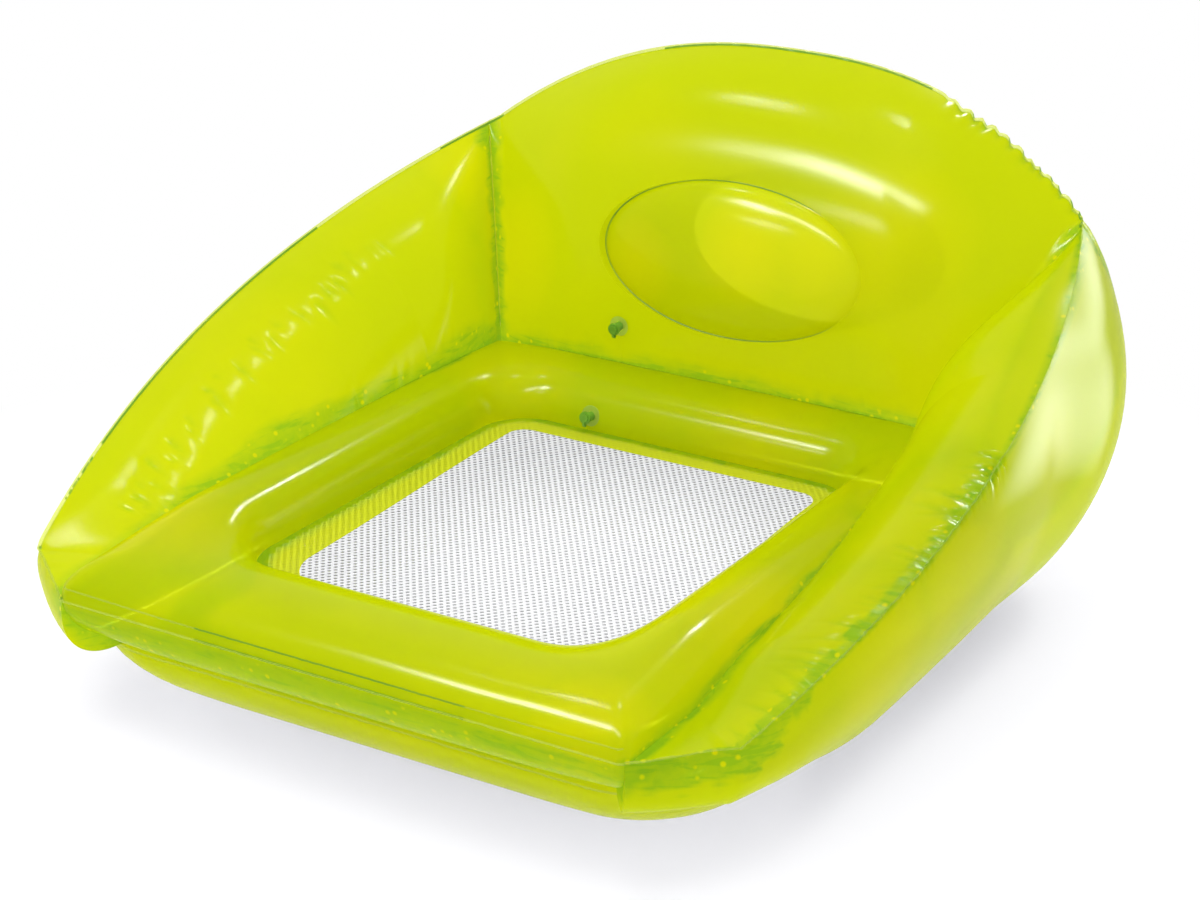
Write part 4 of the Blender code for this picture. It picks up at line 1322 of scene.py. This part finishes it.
set_touch_and_shade(back_film, np.maximum.reduce([
    near_touch(back_film, seat_film, 0.011, 0.06) * 0.55,
    near_touch(back_film, seat_film, 0.004, 0.03),
    near_touch(back_film, right_arm, 0.012, 0.05) * 0.8,
    near_touch(back_film, left_arm, 0.010, 0.05) * 0.7,
    fold_valley_shade(back_film, back_grid, back_skin, 0.0050, 0.5),
]))
print("touch values of the arms and the backrest set")

# %% Painted light: warm spots
painted_glow_spots = (
    (right_arm, ((-0.395, 0.33, 0.36), 0.09, 0.9), ((-0.40, -0.05, 0.25), 0.12, 0.3),
     ((-0.41, -0.20, 0.21), 0.10, 0.25)),
    (left_arm, ((0.45, -0.10, 0.24), 0.10, 0.7), ((0.44, -0.25, 0.19), 0.09, 0.6),
     ((0.42, 0.12, 0.28), 0.09, 0.5)),
    (seat_film, ((0.30, -0.50, 0.16), 0.07, 0.9), ((-0.30, -0.38, 0.17), 0.11, 0.6),
     ((-0.25, 0.19, 0.17), 0.10, 0.7), ((0.10, 0.20, 0.17), 0.10, 0.6),
     ((0.30, 0.10, 0.17), 0.10, 0.5), ((0.31, -0.25, 0.17), 0.10, 0.6)),
    (back_film, ((-0.30, 0.33, 0.30), 0.09, 0.6), ((0.25, 0.31, 0.28), 0.09, 0.4),
     ((0.20, 0.33, 0.40), 0.10, 0.4)),
    (pillow, ((0.03, 0.29, 0.37), 0.07, 0.9), ((-0.12, 0.28, 0.33), 0.06, 0.7),
     ((0.10, 0.29, 0.38), 0.06, 0.6)),
)
for piece, *spots in painted_glow_spots:
    set_painted_glow(piece, spots)
print("warm spots on", len(painted_glow_spots), "pieces")

# %% [markdown]
# ## Welded seams
#
# Every seam is a narrow flat ribbon of doubled film that stands out of the weld. Its root, where
# the two films are fused, is a dark green line where the film is gathered; on the smooth back part
# of the near arm it is as clear as the rest. Its outer lip is pale and nearly clear. The ribbon
# follows the puckered weld, and it waves a little, more where the film is gathered. A curve with
# a flat bevel could make it too, but a grid of sections keeps its twist square to the weld.

# %% Seam ribbons
root_width, lip_start, seam_width, root_sink = 0.0019, 0.0022, 0.0037, 0.0012
root_thickness, lip_thickness, lip_taper = 0.0017, 0.0005, 0.8
wave_count, short_wave, long_wave = 5, 0.010, 0.045


def ribbon(name, line, outward, *replaced, wave=0.0003, closed=False, width=seam_width, seed=1,
           clear_from=None):
    """A seam ribbon out of a line of weld points. Its root is clear from a share of the line on."""
    line, outward = np.array(line, float), np.array(outward, float)
    outward /= np.linalg.norm(outward, axis=1, keepdims=True)
    if closed:
        along = np.roll(line, -1, 0) - np.roll(line, 1, 0)
    else:
        along = np.gradient(line, axis=0)
    flat = np.cross(along, outward)
    flat /= np.linalg.norm(flat, axis=1, keepdims=True)
    places = lengths(line, 0)
    draw = random.Random(seed)
    shift = np.zeros(len(line))
    for _ in range(wave_count):
        size = draw.uniform(short_wave, long_wave)
        shift += np.sin(places * 2 * math.pi / size + draw.uniform(0, 6.28)) * wave / 2
    half, thin = root_thickness / 2, lip_thickness / 2
    root, lip = min(root_width, width * 0.5), min(lip_start, width * 0.6)
    section = [(-root_sink, half), (root, half), (lip, half * lip_taper), (width, thin),
               (width, -thin), (lip, -half * lip_taper), (root, -half), (-root_sink, -half)]
    rows = []
    for out, side in section:
        bend = shift[:, None] * max(out, 0) / width
        rows.append(line + outward * out + flat * (side + bend))
    made = skin(name, np.stack(rows, axis=1), closed, weld)
    made.data.materials.append(lip_look)
    tree = finder(line)
    for face in made.data.polygons:
        _, row, away = tree.find(face.center)
        clear = clear_from is not None and places[row] > clear_from * places[-1]
        face.material_index = int(clear or away > (lip_start + root_width) / 2)
    return show(made, *replaced, slot="welded_seam")


def ridge_outward(grid):
    """Directions from the middle of each rib to its ridge."""
    return grid[:, panel_steps] - grid.mean(axis=1)


# %% Seams of the arms, the backrest and the base
base_edge = base_grid[:, 13]
ribbon("left_arm_weld", left_ridge, ridge_outward(left_skin), "left_arm_seam", wave=0.0006, seed=2,
       clear_from=0.56)
ribbon("right_arm_weld", right_ridge, ridge_outward(flipped(right_skin)), "right_arm_seam", seed=3)
ribbon("back_weld", back_skin[:, panel_steps], ridge_outward(back_skin), "back_seam", wave=0.0005, seed=4)
ribbon("base_weld", base_edge, base_edge - base_grid.mean(axis=1), "base_seam", closed=True, wave=0.0004,
       width=0.0045, seed=5)

# %% Front seam
front_half = 0.345
starts = seat_grid[:, 0]
front_rows = [i for i, p in enumerate(starts) if p[1] < front_wall_line and abs(p[0]) < front_half]
front_rows.sort(key=lambda i: starts[i, 0])
rib_middles = smooth_seat[front_rows].mean(axis=1)
front_edge, edge_line = seat_grid[front_rows, 0], seat_grid[front_rows, 2]
ribbon("front_weld", front_edge, front_edge - rib_middles, "front_seam", seed=6)
ribbon("front_weld_edge", edge_line, edge_line - rib_middles, width=0.0008, seed=8)

# %% Crease seams
crease_middle, crease_rise = -0.6, 0.25
for name, row, replaced in (("left_crease_weld", 0, "left_crease_seam"),
                            ("right_crease_weld", len(back_skin) - 1, "right_crease_seam")):
    line = back_skin[row, 6:panel_steps - 1]
    inward = np.array([-line[:, 0], crease_middle - line[:, 1], np.full(len(line), crease_rise)]).T
    ribbon(name, line, inward, replaced, wave=0.0008, width=0.0042, seed=7)

# %% Pillow welds
ring_radius, ring_sides, ring_points = 0.0005, 6, 160
ring_levels = (("pillow_front_weld", 0.0006), ("pillow_front_lip", 0.0036),
               ("pillow_back_weld", -pillow_depth))
axis = np.array(pillow_frame.to_3x3() @ Vector((0, 0, 1)))
for name, level in ring_levels:
    line = drum_rows([(1.0, level)], -wall_gap, ring_points)[0]
    along = np.roll(line, -1, 0) - np.roll(line, 1, 0)
    along /= np.linalg.norm(along, axis=1, keepdims=True)
    across = np.cross(along, axis)
    rows = [line + ring_radius * (axis * math.cos(t) + across * math.sin(t)) for t in turns(ring_sides)]
    show(skin(name, np.stack(rows, axis=1), True, weld), slot="welded_seam")
print("pillow welds:", len(ring_levels))

# %% [markdown]
# ## The net
#
# The seat is a knitted net of white yarn. Seen flat, its holes form a diamond lattice, about
# 8.5 mm by 11.7 mm between holes in a row and in a column, with every second row shifted. Each
# cell of the lattice is a diamond with a slanted oval hole. The yarn is nearly 2 mm thick and
# rounded, and at a low angle it is the shaded inner walls of the holes that show, as grey dots.
# An image with see-through dots would be lighter, but it would look flat from the side and leave
# the exported model without its holes.

# %% One cell of the net
net_pitch_x, net_pitch_y = 0.0085, 0.0117
hole_long, hole_short, hole_angle, hole_sides = 0.0019, 0.0023, math.radians(-54), 8
yarn_thickness, yarn_round = 0.0020, 0.0003
net_height = seat_middle

hole_ring = []
for t in turns(hole_sides):
    a, b = hole_long * math.cos(t), hole_short * math.sin(t)
    c, d = math.cos(hole_angle), math.sin(hole_angle)
    hole_ring.append((a * c - b * d, a * d + b * c))
rim_ring = [(0.5, 0), (0.25, 0.25), (0, 0.5), (-0.25, 0.25), (-0.5, 0), (-0.25, -0.25), (0, -0.5),
            (0.25, -0.25)]
rim_ring = [(x * net_pitch_x, y * net_pitch_y) for x, y in rim_ring]


def ring_distance(start):
    """How far the two rings lie apart when the hole's ring begins at a point."""
    pairs = [(hole_ring[(start + j) % hole_sides], rim_ring[j]) for j in range(hole_sides)]
    return sum((hole[0] - rim[0]) ** 2 + (hole[1] - rim[1]) ** 2 for hole, rim in pairs)


first = min(range(hole_sides), key=ring_distance)
hole_ring = hole_ring[first:] + hole_ring[:first]
print("the hole's ring begins at point", first)

# %% Net sheet
net_inset, net_middle, span = 0.010, 0.09, 62
top, low = net_height, net_height - yarn_thickness
levels = ((rim_ring, top), (hole_ring, top - yarn_round), (hole_ring, low + yarn_round), (rim_ring, low))
verts, faces, known, rim, cells = [], [], {}, {}, 0


def inside_well(x, y, inset):
    """True for a place of the plan inside the well."""
    return outside_by(Vector((x, y + model_shift)), well, inset) < 0


def net_point(x, y, z):
    """Number of a point of the net, shared between cells."""
    key = (round(x * 1e5), round(y * 1e5), round(z * 1e5))
    if key not in known:
        known[key] = len(verts)
        verts.append((x, y, z))
    return known[key]


for i in range(-span, span):
    for j in range(-span, span):
        x, y = (i - j) * net_pitch_x / 2, (i + j + 1) * net_pitch_y / 2 - net_middle
        if not inside_well(x, y, net_inset):
            continue
        cells += 1
        rings = [[net_point(x + a, y + b, z) for a, b in ring] for ring, z in levels]
        for upper, lower in zip(rings, rings[1:]):
            for k in range(hole_sides):
                m = (k + 1) % hole_sides
                faces.append((upper[k], upper[m], lower[m], lower[k]))
        upper, lower = rings[0], rings[-1]
        for k in range(hole_sides):
            m = (k + 1) % hole_sides
            edge = frozenset((upper[k], upper[m]))
            rim[edge] = rim.get(edge, ()) + ((lower[k], lower[m], upper[m], upper[k]),)
faces += [sides[0] for sides in rim.values() if len(sides) == 1]
mesh = bpy.data.meshes.new("seat_net_sheet")
mesh.from_pydata(verts, [], faces)
mesh.shade_smooth()
net_sheet = bpy.data.objects.new("seat_net_sheet", mesh)
bpy.context.scene.collection.objects.link(net_sheet)
print("net of", cells, "cells and", len(faces), "faces")

# %% [markdown]
# ## Yarn
#
# The yarn is matt and white. In the photograph the net is lightest near its front middle and
# greyer to the left and the back, where less light gets under it, and the walls of the holes turn
# from pale to dark grey in the same way. So both materials are mixed by the distance from that
# light spot, as painted shade. The wall faces of every cell get the darker of the two, a painted
# shade inside the holes.

# %% Yarn looks
shade_middle, shade_start, shade_end = (0.10, -0.16, net_height), 0.12, 0.34


def yarn_look(name, roughness, light, shaded, weave=None):
    """Matt yarn with painted shade, light near the net's front middle: one colour, or two that a weave mixes.
    """
    made, tree, out = new_material(name)
    yarn = node(tree, "ShaderNodeBsdfPrincipled", Roughness=roughness)
    dye = light
    if weave:
        strands = node(tree, "ShaderNodeTexNoise", Scale=weave, Detail=2.0)
        dye = mixed(tree, stepped(tree, strands.outputs["Fac"], 0.3, 0.7), *light)
    share = stepped(tree, distance_from(tree, shade_middle), shade_start, shade_end)
    link(tree, mixed(tree, share, dye, shaded), yarn.inputs["Base Color"])
    link(tree, yarn, out.inputs["Surface"])
    return made


# Both yarn looks paint shade: greyer away from the net's front middle, and darker on the walls of the holes.
white_yarn = yarn_look("white_yarn", 0.75, ((0.70, 0.70, 0.71, 1), (0.78, 0.78, 0.79, 1)),
                       (0.62, 0.62, 0.635, 1), weave=900.0)
yarn_wall_painted_shade = yarn_look("yarn_wall_painted_shade", 0.9, (0.66, 0.66, 0.67, 1), (0.34, 0.34, 0.35, 1))
mesh.materials.append(white_yarn)
mesh.materials.append(yarn_wall_painted_shade)
faces_in_cell = 3 * hole_sides
for number, face in enumerate(mesh.polygons):
    if number < faces_in_cell * cells and number % faces_in_cell // hole_sides == 1:
        face.material_index = 1
show(net_sheet, "seat_net", slot="net")

# %% [markdown]
# ## The border of the net
#
# The net's edge is welded in under a frame of see-through film, and the net shows through it. The
# frame is a flat band in the well. Its outer edge follows the well, and its opening leans aside at
# the front, as in the photograph. The band has seven rows of points, so its pressed outer weld can
# fade into clear film by the touch value of each row.

# %% Net border
opening_lean, front_width, back_width = 0.042, 0.013, 0.037
border_lift, border_rows = 0.0010, 6
border_touch = (0.8, 0.7, 0.3, 0, 0, 0, 0)
well_edge = full_round(well, 0.004)


def toward_back(place):
    """Share from 0 at the well's front to 1 at its back."""
    return eased((place.y + well[1]) / (well[1] + well[2]))


def well_outline(inset_at, lean=0.0):
    """The well's outline drawn in by an inset that may change along it, as points of the plan."""
    found = []
    for p, o in well_edge:
        aside = lean * (1 - toward_back(p)) * eased(0.5 - p.x / well[0] / 2)
        found.append(Vector((p.x + aside, p.y - model_shift)) - o * inset_at(p))
    return found


def border_inset(place):
    """Width of the border: narrower at the front than at the back."""
    return mix(front_width, back_width, toward_back(place))


outer, inner = well_outline(lambda place: gap), well_outline(border_inset, opening_lean)
verts = []
for k in range(border_rows + 1):
    verts += [(*a.lerp(b, k / border_rows), net_height + border_lift) for a, b in zip(outer, inner)]
border = as_object("net_border_film", verts, grid_faces(border_rows + 1, len(outer)), border_look)
show(border, "net_border", slot="double_film")
set_touch_and_shade(border, np.repeat(border_touch, len(outer))[:len(border.data.vertices)])

# %% [markdown]
# ## Valves
#
# The valves are the CAD model's own solids, which already have every part of a push-in valve and
# ride on their own bodies. They only need a look. A moulded valve is thicker than the film, so it
# is a deeper green and lets little light through. Its round collar is welded film, clear enough to
# blend with the chamber.

# %% Valve looks
valve_colours = (0.14, 0.38, 0.02, 1), (0.26, 0.56, 0.04, 1)
valve_light = (0.25, 0.60, 0.05, 1)
valve_through = 0.3

valve_look, tree, out = new_material("valve_vinyl")
vinyl = node(tree, "ShaderNodeBsdfPrincipled", Roughness=0.18)
streak = noise(tree, places_on(tree), Scale=160.0, Detail=2.0)
link(tree, mixed(tree, streak, *valve_colours), vinyl.inputs["Base Color"])
through = node(tree, "ShaderNodeBsdfTranslucent", Color=valve_light)
link(tree, blended(tree, valve_through, vinyl, through), out.inputs["Surface"])
for name, piece in nodes.items():
    if "valve" in name:
        piece.data.materials.clear()
        piece.data.materials.append(flange_look if name.endswith("flange") else valve_look)
print("valves:", sum("valve" in name for name in nodes), "pieces in vinyl")
